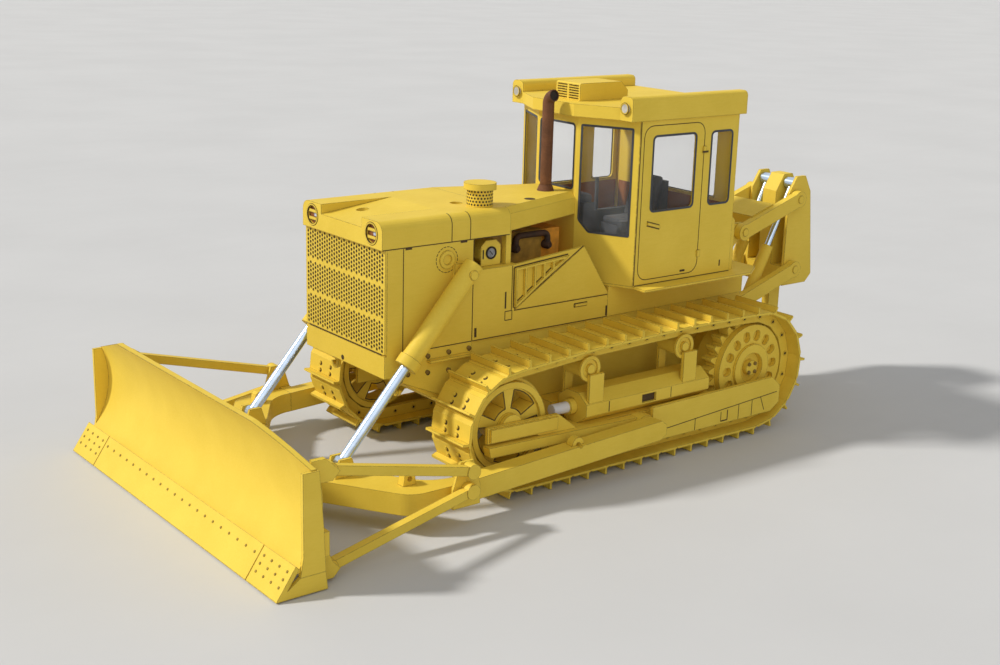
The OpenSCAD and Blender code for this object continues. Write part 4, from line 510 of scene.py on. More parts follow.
def model_bent_pipe(radius, leg, bend, run):
    """Pipe that rises from the origin, runs along X and comes down again."""
    pipe = model_circle(14, radius)
    edit_all()
    for way, corner in (((0, 0, leg), bend), ((run, 0, 0), bend + run)):
        bpy.ops.mesh.extrude_region_move(TRANSFORM_OT_translate={"value": way})
        bpy.ops.mesh.spin(steps=6, angle=pi / 2, center=(corner, 0, leg), axis=(0, -1, 0))
    bpy.ops.mesh.extrude_region_move(TRANSFORM_OT_translate={"value": (0, 0, -leg)})
    bpy.ops.object.mode_set(mode="OBJECT")
    return pipe


def stand(point, out, along=FORWARD, size=(1, 1, 1)):
    """Matrix that stands a piece at a point, its Z outwards and its X along the given way."""
    z_way = Vector(out).normalized()
    x_way = Vector(along)
    x_way = (x_way - z_way * x_way.dot(z_way)).normalized()
    y_way = z_way.cross(x_way)
    turned = Matrix((x_way * size[0], y_way * size[1], z_way * size[2])).transposed().to_4x4()
    turned.translation = point
    return turned


def scatter(template, places):
    """One mesh with a copy of the template at each place; the template goes."""
    corners = [vertex.co.copy() for vertex in template.data.vertices]
    faces = [tuple(face.vertices) for face in template.data.polygons]
    points, skins = [], []
    for place in places:
        first = len(points)
        points.extend(place @ corner for corner in corners)
        skins.extend(tuple(first + i for i in face) for face in faces)
    mesh = bpy.data.meshes.new(template.name)
    mesh.from_pydata(points, [], skins)
    piece = bpy.data.objects.new(template.name, mesh)
    bpy.context.scene.collection.objects.link(piece)
    bpy.data.objects.remove(template)
    return piece


def join(pieces):
    """Pieces joined into the first one."""
    clear_choice()
    for piece in pieces:
        piece.select_set(True)
    bpy.context.view_layer.objects.active = pieces[0]
    bpy.ops.object.join()
    return pieces[0]


def hand_over(piece, name, finish, body="tractor"):
    """Name, finish, clean normals, body and slot of a finished piece."""
    piece.name = name
    piece.data.name = name
    piece.data.materials.clear()
    piece.data.materials.append(bpy.data.materials[finish])
    clear_choice()
    piece.select_set(True)
    bpy.context.view_layer.objects.active = piece
    edit_all("VERT")
    bpy.ops.mesh.remove_doubles(threshold=1e-7)
    bpy.ops.mesh.normals_make_consistent(inside=False)
    bpy.ops.object.mode_set(mode="OBJECT")
    bpy.ops.object.shade_smooth_by_angle(angle=radians(38))
    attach(piece, body)
    return piece


def add_bolts(places, radius, height, name, slot, finish, sides=8, body="tractor"):
    """Piece made of a bolt, a printed disc or a disc of painted shade at each place."""
    hand_over(scatter(model_bolt(radius, height, sides), places), name, finish, body)


# Track path, in millimetres of the drawing

# Wheels of the pitch line, the sprocket and the idler first: place along, height and radius.
WHEELS = ((-56.6, 24.0, 18.8), (54.0, 22.5, 17.3), (21.6, 36.6, 5.6), (-21.4, 37.6, 5.6))
SPROCKET = WHEELS[0][:2]
IDLER = WHEELS[1][:2]
# Rise of the lower run's middle.
RUN_BOW = 0.1


def tangent_way(first, second):
    """Outward direction of the belt's straight run from one wheel to the next."""
    run, rise = second[0] - first[0], second[1] - first[1]
    reach = hypot(run, rise)
    lean = asin((first[2] - second[2]) / reach)
    ex, ez = run / reach, rise / reach
    return ez * cos(lean) + ex * sin(lean), -ex * cos(lean) + ez * sin(lean)


def between(start, end, share):
    """Point at a share of the way from one point to another."""
    return start[0] + (end[0] - start[0]) * share, start[1] + (end[1] - start[1]) * share


def round_point(middle, radius, angle):
    """Point of a circle."""
    return middle[0] + radius * cos(angle), middle[1] + radius * sin(angle)


def in_turn(row):
    """Each item of a closed row with the one after it."""
    return list(zip(row, (*row[1:], row[0])))


def pitch_line(step=0.05):
    """Points of the pitch line, close together, from the lower run's rear end."""
    line = []
    wheels = in_turn(WHEELS)
    ways = in_turn([tangent_way(here, there) for here, there in wheels])
    for (here, there), (way, next_way) in zip(wheels, ways):
        start, end = [(x + r * way[0], z + r * way[1]) for x, z, r in (here, there)]
        count = max(2, int(hypot(end[0] - start[0], end[1] - start[1]) / step))
        bow = RUN_BOW if here == WHEELS[0] else 0
        for k in range(count):
            x, z = between(start, end, k / count)
            line.append((x, z + bow * sin(pi * k / count)))
        first, last = [atan2(z, x) for x, z in (way, next_way)]
        turn = (last - first) % (2 * pi)
        # A small turn the other way.
        if turn > 1.9 * pi:
            turn -= 2 * pi
        count = max(2, int(abs(turn) * there[2] / step))
        line.extend(round_point(there, there[2], first + turn * k / count) for k in range(count))
    return line


def link_pins(count):
    """Pins at equal steps along the pitch line."""
    steps = in_turn(pitch_line())
    lengths = [0.0]
    for a, b in steps:
        lengths.append(lengths[-1] + hypot(b[0] - a[0], b[1] - a[1]))
    pins, k = [], 0
    for i in range(count):
        want = lengths[-1] * i / count
        while lengths[k + 1] < want:
            k += 1
        pins.append(between(*steps[k], (want - lengths[k]) / (lengths[k + 1] - lengths[k])))
    return pins


# Operators

# Some of these finishes paint light: the ink also paints shadows and shaded holes, the bolts' dark tone is
# painted shade, the glints are painted reflections, and the dark card also paints shade in holes.
# Printed finishes: name, face colour, colour of its patches and the share of it, colour of the inked edges
# and the share of it, roughness, scale of the patches, and the strength of coarser fibres.
PRINTS = (
    ("yellow_card", "yellow", "yellow_deep", 1, "ink", 0.78, 0.62, 70),
    ("track_card", "yellow", "yellow_deep", 1, "ink", 0.62, 0.66, 150),
    ("brown_card", "brown", "brown_deep", 1, "brown_deep", 0.4, 0.72, 210, 0.5),
    ("soot_card", "brown_deep", "dark", 1, "dark_deep", 0.4, 0.72, 210),
    ("grey_card", "grey", "grey_deep", 1, "dark", 0.5, 0.7, 160, 0.4),
    ("white_paper", "white", "white_deep", 1, "grey", 0.2, 0.55, 70),
    ("dark_card", "dark", "dark_deep", 1, "dark_deep", 0.2, 0.75, 180),
    ("lining_card", "lining", "lining_deep", 1, "dark", 0.4, 0.7, 120),
    ("trim_card", "rubber", "rubber_deep", 1, "dark", 0.3, 0.5, 200),
    ("ink_print", "ink", "ink", 0.6, "dark_deep", 0.1, 0.7, 300),
    ("pale_print", "glint", "glint_pale", 1, "ink", 0.1, 0.5, 300),
    ("dot_print", "dot", "dot", 0.7, "ink", 0.5, 0.7, 300),
    ("bolt_print", "bolt", "bolt", 0.7, "ink", 0.3, 0.6, 300),
    ("dial_print", "dial", "dial", 0.3, "ink", 0.1, 0.5, 900),
)
SLOT_FINISHES = {
    "card_yellow": "yellow_card", "card_brown": "brown_card", "card_grey": "grey_card",
    "card_white": "white_paper", "engine_dark": "bay_card", "film_clear": "window_film",
    "lamp_clear": "lamp_print", "rod_chrome": "bright_wire",
}
NODE_FINISHES = {"left_track": "track_card", "right_track": "track_card", "manifold": "soot_card"}
# Where a zone starts along X in the frame, in metres: lamps of the hood, engine block, radiator's core.
HOOD_LAMPS, BLOCK_REAR, CORE_REAR = mm(40, 3.2, 46.8)


class FinishOperator(bpy.types.Operator):
    """Give every node of the frame its printed, inked or bright finish"""
    bl_idname = "bulldozer.finishes"
    bl_label = "Finishes"

    def execute(self, context):
        tint = context.scene.bulldozer_colours

        def colour(name, share=1):
            return tuple(channel * share for channel in getattr(tint, name))

        build_card_grain()
        build_ink_edges()
        for name, face, deep, deep_share, ink, *numbers in PRINTS:
            card_finish(name, colour(face), colour(deep, deep_share), colour(ink), *numbers)
        wire_finish("bright_wire", colour("wire"))
        film_finish("window_film", colour("film"))
        zone_finish("lamp_print", colour("lamp"), ((HOOD_LAMPS, colour("lining")),), 0.35)
        # The rear zone's bright orange is partly painted bounce light.
        engine = ((BLOCK_REAR, colour("block")), (CORE_REAR, colour("dark")))
        zone_finish("bay_card", colour("bay"), engine, 0.7)
        for row in frame["record"]["subparts"]:
            name = NODE_FINISHES.get(row["node"], SLOT_FINISHES[row["material_slot"]])
            for slot in frame["nodes"][row["node"]].material_slots:
                slot.material = bpy.data.materials[name]
        return {"FINISHED"}


class ShoeBoltOperator(bpy.types.Operator):
    """Add four domed bolts to each track shoe, each with a crescent of painted shadow beside it"""
    bl_idname = "bulldozer.shoe_bolts"
    bl_label = "Shoe bolts"

    def execute(self, context):
        size = context.scene.bulldozer_tracks
        pins = link_pins(size.shoes)
        left = Vector(LEFTWARD)
        sunk = 0.03 * MM
        for side, sign in SIDES:
            heads, shadow_crescents = [], []
            for pin, after in in_turn(pins):
                dx, dz = after[0] - pin[0], after[1] - pin[1]
                reach = hypot(dx, dz)
                way = Vector((dx / reach, 0, dz / reach))
                out = Vector((dz / reach, 0, -dx / reach))
                # Each bolt's painted shadow is a dark disc set off to one side of it.
                shift = left * size.bolt_r * 0.62 - way * size.bolt_r * 0.36
                # Two rows of two bolts, by their shares of the shoe's length.
                for share in (0.38, 0.69):
                    x, z = between(pin, after, share)
                    for gauge in SIGNS:
                        spot = at(x, (sign * size.middle + gauge * size.bolt_gauge) / MM, z)
                        spot += out * (size.shoe_out - sunk)
                        heads.append(stand(spot, out, LEFTWARD))
                        shadow_crescents.append(stand(spot + shift, out, LEFTWARD))
            add_bolts(heads, size.bolt_r, size.bolt_h, f"{side}_shoe_bolts", "card_yellow", "track_card")
            # Discs of painted shadow, a little wider than the bolts.
            radius = size.bolt_r * 1.18
            add_bolts(shadow_crescents, radius, PRINT_H, f"{side}_shoe_bolt_ink", "engine_dark", "ink_print")
        return {"FINISHED"}


class LinkPinOperator(bpy.types.Operator):
    """Add the ringed ends of the link pins to the rails, with painted shade in their bores"""
    bl_idname = "bulldozer.link_pins"
    bl_label = "Link pins"

    def execute(self, context):
        size = context.scene.bulldozer_tracks
        pins = link_pins(size.shoes)
        proud = 0.04
        for side, sign in SIDES:
            rings, bores = [], []
            for x, z in pins:
                for gauge in SIGNS:
                    out = (0, gauge, 0)
                    face = (sign * size.middle + gauge * size.rail_face) / MM
                    rings.append(stand(at(x, face, z), out))
                    bores.append(stand(at(x, face + gauge * proud, z), out))
            ring = model_ring(size.pin_r, size.pin_h, size.pin_r * 0.42, size.pin_h * 0.8, 10)
            hand_over(scatter(ring, rings), f"{side}_link_pins", "track_card")
            # A dark disc of painted shade in each pin's bore.
            add_bolts(bores, size.pin_r * 0.52, PRINT_H, f"{side}_pin_bores", "engine_dark", "dark_card")
        return {"FINISHED"}


# Bolts of the side plates, along and up.
PLATE_BOLTS = ((56.9, 44.5), (64.9, 44.5), (73, 44.4), (64.9, 38.5), (73, 39), (80.6, 39.6))
# Faces that the bolts stand on, from the middle plane.
PLATE_Y = 23.38
CAP_Y = 43.18
# Lower and upper edge of the cutting edge's face, along and up.
EDGE_LOW = (153.3, 0.35)
EDGE_HIGH = (147.2, 9.4)


class PanelBoltOperator(bpy.types.Operator):
    """Add the bolts of the side plates, sprocket caps and cutting edge"""
    bl_idname = "bulldozer.panel_bolts"
    bl_label = "Panel bolts"

    def execute(self, context):
        size = context.scene.bulldozer_panels
        places, shades = [], []
        for sign in SIGNS:
            out = (0, sign, 0)
            for x, z in PLATE_BOLTS:
                places.append(stand(at(x, sign * PLATE_Y, z), out))
                # Painted shadow: a dark disc set down and back from each bolt.
                shades.append(stand(at(x - 0.44, sign * PLATE_Y, z - 0.36), out))
            # Four bolts on the sprocket's cap.
            for dx in (-1.5, 1.5):
                for dz in (-1.5, 1.5):
                    places.append(stand(at(SPROCKET[0] + dx, sign * CAP_Y, SPROCKET[1] + dz), out))
        # The hole in the plain panel below the grille, a dark disc of painted shade.
        shades.append(stand(at(NOSE_X, -0.9, 40.3), FORWARD, UP))
        # Discs of painted shadow, a little wider than the bolts, and the hole's painted shade.
        add_bolts(shades, size.bolt_r * 1.2, PRINT_H, "frame_bolt_ink", "engine_dark", "ink_print")
        # These bolts are darkened with painted shade.
        add_bolts(places, size.bolt_r, size.bolt_h, "frame_bolts", "card_yellow", "bolt_print")
        # Cutting edge: a row along the middle section, and four columns of three on each end bit.
        spots = [(0.72, -50 + i * 5.0) for i in range(21)]
        spots += [(share, sign * (54.8 + i * 4.2))
                  for sign in SIGNS for i in range(4) for share in (0.34, 0.56, 0.78)]
        out = (EDGE_HIGH[1] - EDGE_LOW[1], 0, EDGE_LOW[0] - EDGE_HIGH[0])
        places = []
        for share, y in spots:
            x, z = between(EDGE_LOW, EDGE_HIGH, share)
            places.append(stand(at(x, y, z), out, LEFTWARD))
        add_bolts(places, size.dot_r, size.dot_h, "cutting_edge_bolts", "card_yellow", "dot_print",
                  body="blade_frame")
        return {"FINISHED"}


# A few of these lines paint the shadow round the handles.
# Inked lines on the tractor's sides: distance out, then each line's share of the seam's width and two ends.
SIDE_LINES = (
    (HULL_Y, (
        # Hood's lower edge, with its two latches.
        (1, 41.4, 79.9, 90.0, 79.9), (2.4, 81.6, 79.5, 79.2, 79.5), (2.4, 60.8, 79.5, 58.2, 79.5),
        # Side panel, and the clasp behind it.
        (1, 82.3, 46.6, 82.3, 79.6), (1, 55.6, 46.6, 55.6, 79.6), (1, 55.7, 46.5, 82.2, 46.5),
        (3.2, 54.2, 47.5, 54.2, 50.6),
        # Fender: slot, outlined patch, lower seam, front seam, facet, mark and lower edge.
        (2.2, 42.2, 61.0, 42.2, 55.4), (1, 42.3, 54.4, 39.4, 54.4), (1, 39.4, 54.4, 39.4, 51.4),
        (1, 39.4, 51.4, 42.3, 51.4), (1, 42.3, 51.4, 42.3, 54.4), (1, 38.6, 54.3, -2.4, 54.3),
        (1, 39.7, 54.6, 39.7, 69.4), (1, 38.6, 54.9, 9.6, 72.7), (3, -2.2, 46.8, -2.2, 50.4),
        (1, 55.4, 46.5, -2.4, 46.5),
        # Painted shadow round the fender's handle.
        (1.2, 6.9, 51.8, 12.6, 51.8), (1, 6.9, 53.0, 12.6, 53.0), (1.2, 6.9, 51.8, 6.9, 53.0),
        (1, 12.6, 51.8, 12.6, 53.0),
        # Outline of the triangular rib.
        (1.4, 39.0, 68.75, 16.2, 70.6), (1.4, 38.95, 55.2, 39.05, 68.6), (1.6, 38.6, 55.1, 16.6, 70.0),
    )),
    (CAB_Y, (
        # Painted shadow round the door's handle.
        (1.3, -11.9, 78.6, -17.9, 76.9), (1, -11.9, 80.1, -17.9, 78.4),
        # Corner, sill and two marks above it.
        (1, -7.25, 58.2, -7.25, 114.0), (1, -7.4, 58.1, -53.8, 58.1), (2.6, -29.0, 60.9, -31.4, 60.9),
        (2.2, -48.8, 60.4, -48.8, 62.6),
    )),
    # Mark between the cab's side windows.
    (31.5, ((2.4, -36.2, 102.2, -39.0, 102.2),)),
    # Seams and hatch of the track guard.
    (GUARD_Y, (
        (1, -5.0, 10.6, -66.6, 14.4), (1, -24.8, 11.7, -24.8, 7.6), (1, -46.7, 13.1, -46.7, 7.6),
        (1, -53.6, 13.5, -53.6, 7.6), (1, -58.0, 13.8, -60.2, 8.6), (1, -37.7, 11.9, -37.7, 8.4),
        (1.6, -41.0, 12.1, -41.0, 8.4), (1.6, -37.7, 8.4, -41.0, 8.4),
    )),
    # Slot of the recoil housing, and the housing's seams.
    (44.05, ((10, -7.3, 22.65, -1.1, 22.65),)),
    (44.85, ((1.4, 14.0, 21.0, 14.0, 24.6), (1, -14.5, 21.0, -14.5, 24.6))),
)
# Seams over the hood's side and rounded edge: places along, foot, and the edge's middle and radius.
HOOD_SEAMS = (64.2, 57.0)
HOOD_FOOT = 80.0
HOOD_EDGE = (20.2, 85.2)
HOOD_EDGE_R = 3.2
# Inner edges of the triangular rib, along and up; front of its first bay, step and length of a bay.
RIB_TOP = ((38.87, 67.7), (16.34, 69.53))
RIB_LOW = ((38.5, 56.37), (16.34, 71.37))
BAY_FRONT = 38.07
BAY_STEP = 3.866
BAY_LENGTH = 3.066
# Idler's web: half its thickness, and the openings between its spokes.
WEB_HALF = 3.6
OPENING_RADII = (5.95, 12.0)
OPENING_SHARES = (0.145, 0.855)
SPOKES = 5
# Ring of short marks round the boss of the side panel.
BOSS = (66, 74.46)
BOSS_R = 4.1
BOSS_MARKS = 20
# Roof vent's front face, foot and height, and its rows of louvres.
VENT_X = -1.5
VENT_FOOT = 118.5
VENT_HIGH = 6
LOUVRES = 6
# Cab door's outline: half width, half height, radius of its corners and middle.
DOOR_WIDE = 14.4
DOOR_HIGH = 26.5
DOOR_R = 4.0
DOOR = (-23, 86.1)


def height_on(ends, x):
    """Height of a sloping line at a place along it."""
    return ends[0][1] + (ends[1][1] - ends[0][1]) * (x - ends[0][0]) / (ends[1][0] - ends[0][0])


class SeamOperator(bpy.types.Operator):
    """Draw the inked seams of the panels, and lines of painted shade, as thin strips"""
    bl_idname = "bulldozer.seams"
    bl_label = "Panel seams"

    def execute(self, context):
        size = context.scene.bulldozer_panels
        track_y = context.scene.bulldozer_tracks.middle / MM
        places = []

        def line(start, end, out, share=1.0):
            start, end = at(*start), at(*end)
            way = end - start
            thick = (way.length, size.seam_w * share, size.seam_h)
            places.append(stand((start + end) / 2, out, way, thick))

        def side_line(sign, start, end, share=1.0, y=HULL_Y):
            line((start[0], sign * y, start[1]), (end[0], sign * y, end[1]), (0, sign, 0), share)

        for sign in SIGNS:
            for y, rows in SIDE_LINES:
                for share, x0, z0, x1, z1 in rows:
                    side_line(sign, (x0, z0), (x1, z1), share, y)
            # Seams up the hood's side and, in five steps, over its rounded edge.
            for x in HOOD_SEAMS:
                side_line(sign, (x, HOOD_FOOT), (x, HOOD_EDGE[1]))
                for k in range(5):
                    turns = [radians(18 * (k + share)) for share in (0, 0.5, 1)]
                    (y0, z0), _, (y1, z1) = [round_point(HOOD_EDGE, HOOD_EDGE_R, turn) for turn in turns]
                    out = (0, sign * cos(turns[1]), sin(turns[1]))
                    line((x, sign * y0, z0), (x, sign * y1, z1), out)
            # Painted shade along the front and lower edges of the rib's bays.
            for i in range(4):
                x0 = BAY_FRONT - BAY_STEP * i
                x1 = x0 - BAY_LENGTH
                low0, low1 = height_on(RIB_LOW, x0), height_on(RIB_LOW, x1)
                top0, top1 = height_on(RIB_TOP, x0), height_on(RIB_TOP, x1)
                if low0 + 0.6 < top0:
                    side_line(sign, (x0 - 0.2, low0), (x0 - 0.2, top0), 1.4)
                    if low1 < top1:
                        side_line(sign, (x0, low0 + 0.2), (x1, low1 + 0.2), 1.4)
            # Edges of the openings between the idler's spokes, on both faces of its web.
            for gauge in SIGNS:
                web = sign * track_y + gauge * WEB_HALF
                for k in range(SPOKES):
                    first, last = [radians(90 + 360 / SPOKES * (k + share)) for share in OPENING_SHARES]
                    turns = [first + (last - first) * i / 5 for i in range(6)]
                    arcs = [[(x, web, z) for x, z in (round_point(IDLER, r, turn) for turn in turns)]
                            for r in OPENING_RADII]
                    for row in (*arcs, *[(arcs[0][i], arcs[1][i]) for i in (0, -1)]):
                        for start, end in zip(row, row[1:]):
                            line(start, end, (0, gauge, 0), 1.2)
            # Broken ring round the boss.
            for k in range(BOSS_MARKS):
                turns = [2 * pi * (k + share) / BOSS_MARKS for share in (0, 0.72)]
                side_line(sign, *[round_point(BOSS, BOSS_R, turn) for turn in turns], 0.8)
            # Painted shade on the floors of the roof vent's louvres.
            for i in range(LOUVRES):
                z = VENT_FOOT + VENT_HIGH / (LOUVRES + 1) * (i + 0.925)
                line((VENT_X, sign * 0.52, z), (VENT_X, sign * 5.52, z), FORWARD, 1.3)
        # Lower edge of the grille.
        line((NOSE_X, -21.5, 46.7), (NOSE_X, 21.5, 46.7), FORWARD)
        seams = scatter(model_strip(), places)
        hand_over(seams, "panel_seams", "ink_print")
        doors = []
        for sign in SIGNS:
            face = stand(at(DOOR[0], sign * CAB_Y, DOOR[1]), (0, sign, 0), (-sign, 0, 0))
            corners = box_corners(DOOR_WIDE, DOOR_HIGH)
            doors.append(model_trim(corners, DOOR_R, size.seam_w, 2 * size.seam_h, face))
        hand_over(join(doors), "door_outlines", "ink_print")
        return {"FINISHED"}


# Side windows: rear and front edges, middle height, half height and radius of the corners.
SIDE_WINDOWS = ((-33.3, -13.1), (-51.1, -40.8))
WINDOW_Z = 96.1
WINDOW_HIGH = 12.8
WINDOW_R = 1.9
# Slanting front walls, from their inner to their outer edge, and the windows in them, along and up.
SLANT_IN = (3, 10.6)
SLANT_OUT = (-7, 31)
SLANT_WINDOW = ((5.2, 74.7), (20.35, 74.7), (20.35, 111.75), (1.15, 111.75), (1.15, 78.85))


class WindowTrimOperator(bpy.types.Operator):
    """Line the cab's window openings with dark grey strips"""
    bl_idname = "bulldozer.window_trims"
    bl_label = "Window trims"

    def execute(self, context):
        size = context.scene.bulldozer_cab
        half = size.trim_w / MM / 2
        trims = []

        def trim(points, radius, place):
            trims.append(model_trim(points, radius, size.trim_w, size.trim_h, place))

        for sign in SIGNS:
            for x0, x1 in SIDE_WINDOWS:
                face = stand(at((x0 + x1) / 2, sign * CAB_Y, WINDOW_Z), (0, sign, 0), (-sign, 0, 0))
                trim(box_corners((x1 - x0) / 2 + half, WINDOW_HIGH + half), WINDOW_R, face)
            # The slanting windows have a cut lower inner corner. On the right, local Y looks down.
            run, across = SLANT_OUT[0] - SLANT_IN[0], SLANT_OUT[1] - SLANT_IN[1]
            base = at(SLANT_IN[0], sign * SLANT_IN[1], 0)
            face = stand(base, (across, -sign * run, 0), (run, sign * across, 0))
            trim([(u, sign * v) for u, v in SLANT_WINDOW], 0.7, face)
        trim(box_corners(9.45, 11.45), 1.5, stand(at(SLANT_IN[0], 0, 100.3), FORWARD, LEFTWARD))
        back = stand(at(-54, 0, WINDOW_Z), REARWARD, (0, -1, 0))
        trim(box_corners(22.35, 13.15), WINDOW_R, back)
        hand_over(join(trims), "window_trims", "trim_card")
        return {"FINISHED"}


class CabFittingOperator(bpy.types.Operator):
    """Line the cab's lower half and add the blocks of the seat and dash"""
    bl_idname = "bulldozer.cab_fittings"
    bl_label = "Cab fittings"

    def execute(self, context):
        thick = context.scene.bulldozer_cab.lining_t / MM
        # Middle and size of each plate: sides, rear and floor.
        rows = [((-30.5, sign * 29.75, 70.4), (44, thick, 24)) for sign in SIGNS]
        rows += [((-52.7, 0, 70.4), (thick, 56, 24)), ((-26, 0, 58.6), (50, 40, 0.5))]
        plates = [model_plate(middle, dims, 0.12) for middle, dims in rows]
        hand_over(join(plates), "cab_lining", "lining_card")
        # Seat block with a leaning back, and the rounded hood over the dash.
        blocks = [
            model_plate((-33.4, 0, 73.2), (14.5, 14.5, 2.6), 0.9),
            model_plate((-39.2, 0, 81.4), (2.4, 14.5, 17), 0.9, 13.6),
            model_plate((-3.4, 0, 85.2), (6.2, 19, 3.4), 1.5),
        ]
        hand_over(join(blocks), "seat_and_dash_blocks", "grey_card")
        return {"FINISHED"}


# Lamps: rim's place on the left side, and radius.
HEAD_LAMP = (90.1, 17.4, 84.2)
HEAD_R = 3.0
ROOF_LAMP = (-1.2, 28.7, 118.5)
ROOF_R = 1.5


class LampOperator(bpy.types.Operator):
    """Add the rings, bars and painted glints of the lamps"""
    bl_idname = "bulldozer.lamps"
    bl_label = "Lamp rings and bars"

    def execute(self, context):
        wide, thin = context.scene.bulldozer_panels.bezel_w / MM, 0.14
        _, head_y, head_z = HEAD_LAMP
        head_out, roof_out = HEAD_R + wide, ROOF_R + wide * 0.7

        def fronts(x, y, z, size=(1, 1, 1), shift=0):
            return [stand(at(x, sign * y + shift, z), FORWARD, LEFTWARD, size) for sign in SIGNS]

        def ring(inner, outer, height, lamp):
            return scatter(model_flat_ring(inner, outer, height), fronts(*lamp))

        # Two bars across each head lamp's glass, behind its rim.
        bar = mm(4.7, 1.0, 0.1)
        bars = [place for z in (83.0, 85.4) for place in fronts(89.83, head_y, z, bar)]
        rings = [ring(HEAD_R, head_out, 0.36, HEAD_LAMP), ring(ROOF_R, roof_out, 0.3, ROOF_LAMP),
                 scatter(model_strip(), bars)]
        hand_over(join(rings), "lamp_rings", "yellow_card")
        ink = [ring(head_out, head_out + thin, thin, HEAD_LAMP), ring(2.9, HEAD_R, 0.4, HEAD_LAMP),
               ring(roof_out, roof_out + thin, thin, ROOF_LAMP)]
        hand_over(join(ink), "lamp_ring_ink", "ink_print")
        # A painted reflection in each head lamp, to the left of its middle.
        glints = scatter(model_strip(), fronts(89.3, head_y, head_z, mm(1.9, 1.1, 0.12), 1.1))
        hand_over(glints, "lamp_glints", "pale_print")
        return {"FINISHED"}


# Gauge: the plate's outline, and the middle of its face.
GAUGE_PLATE = ((-4.0, -4.2), (4.0, -4.2), (4.0, 2.3), (2.1, 4.2), (-2.1, 4.2), (-4.0, 2.3))
GAUGE = (46.4, 20.2, 73.9)
# Exhaust stack's bend: middle of its foot, radius and angle, which turns towards the machine's left.
STACK = (10, 3, 117.9)
STACK_BEND = 3
STACK_TURN = radians(80)
FILLER_HOLES = ((78.3, -6, 84.05), (51, 7.2, 84.05), (25.3, 13.4, 88.39))
ROUND_SIDES = 24


class GaugeOperator(bpy.types.Operator):
    """Add the gauge's plate and dial, the stack's mouth and the floors of the filler holes, with painted
    shade in the mouth and on the floors
    """
    bl_idname = "bulldozer.gauge_and_stack"
    bl_label = "Gauge and stack mouth"

    def execute(self, context):
        plate = thicken(model_face(GAUGE_PLATE), 0.4 * MM)
        edit_all()
        bpy.ops.mesh.bevel(offset=0.08 * MM, segments=1, affect="EDGES")
        bpy.ops.object.mode_set(mode="OBJECT")
        x, y, z = GAUGE
        plate.data.transform(stand(at(x, y, z), LEFTWARD, REARWARD))
        hand_over(plate, "gauge_plate", "yellow_card")
        face = [stand(at(x, y + 0.3, z), LEFTWARD)]
        rim = scatter(model_flat_ring(1.6, 2.1, 0.5), face)
        bar = stand(at(x + 3.1, y + 0.2, z - 0.3), LEFTWARD, UP, mm(3.0, 0.5, 0.06))
        hand = stand(at(x, y + 0.42, z), LEFTWARD, (1, 0, 1), mm(1.9, 0.26, 0.06))
        marks = scatter(model_strip(), [bar, hand])
        hand_over(join([rim, marks]), "gauge_rim", "dark_card")
        add_bolts(face, *mm(1.5, 0.09), "gauge_dial", "card_grey", "dial_print", ROUND_SIDES)
        x, y, z = STACK
        out = Vector((0, sin(STACK_TURN), cos(STACK_TURN)))
        mouth = at(x, y + STACK_BEND * (1 - cos(STACK_TURN)), z + STACK_BEND * sin(STACK_TURN))
        lip = model_ring(*mm(2.02, 0.5, 0.3, 0.42), ROUND_SIDES)
        lip = scatter(lip, [stand(mouth - out * 0.1 * MM, out)])
        hand_over(lip, "stack_lip", "brown_card")
        # A dark disc of painted shade inside the stack's mouth.
        mouths = [stand(mouth, out)]
        add_bolts(mouths, *mm(1.7, 0.05), "stack_mouth", "engine_dark", "dark_card", ROUND_SIDES)
        # Dark discs of painted shade on the floors of the filler holes.
        holes = [stand(at(*place), UP) for place in FILLER_HOLES]
        add_bolts(holes, *mm(1.85, 0.08), "filler_hole_floors", "engine_dark", "ink_print", ROUND_SIDES)
        return {"FINISHED"}


class ManifoldOperator(bpy.types.Operator):
    """Show the manifold as a bent pipe on two collars, in place of its plain solid"""
    bl_idname = "bulldozer.manifold"
    bl_label = "Manifold pipe"

    def execute(self, context):
        size = context.scene.bulldozer_panels
        # The collars' places along, height and inner ends, and the pipe's middle outside these.
        front, rear, foot, inner, outside = 30.0, 16.4, 71.9, 11.0, 1.6
        run = (front - rear) * MM - 2 * size.pipe_bend
        pipe = model_bent_pipe(size.pipe_r, size.pipe_leg, size.pipe_bend, run)
        pipe.data.transform(stand(at(front, inner + outside, foot), UP, REARWARD))
        collars = [stand(at(x, inner, foot), LEFTWARD) for x in (front, rear)]
        collar = scatter(model_bolt(size.pipe_r * 1.45, 2.2 * MM, 14), collars)
        piece = hand_over(join([pipe, collar]), "manifold_pipe", "soot_card")
        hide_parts("manifold")
        return {"FINISHED"}


# Air cleaner: middle of its lowest row of holes, radius, rise between rows, rows and holes in a row.
CLEANER = (47, 14.6, 89.2)
CLEANER_R = 4.19
CLEANER_RISE = 1.05
CLEANER_ROWS = 5
CLEANER_HOLES = 24
# Grille: columns of holes, rows in a folded band and bands.
COLUMNS = 31
ROWS = 7
BANDS = 3


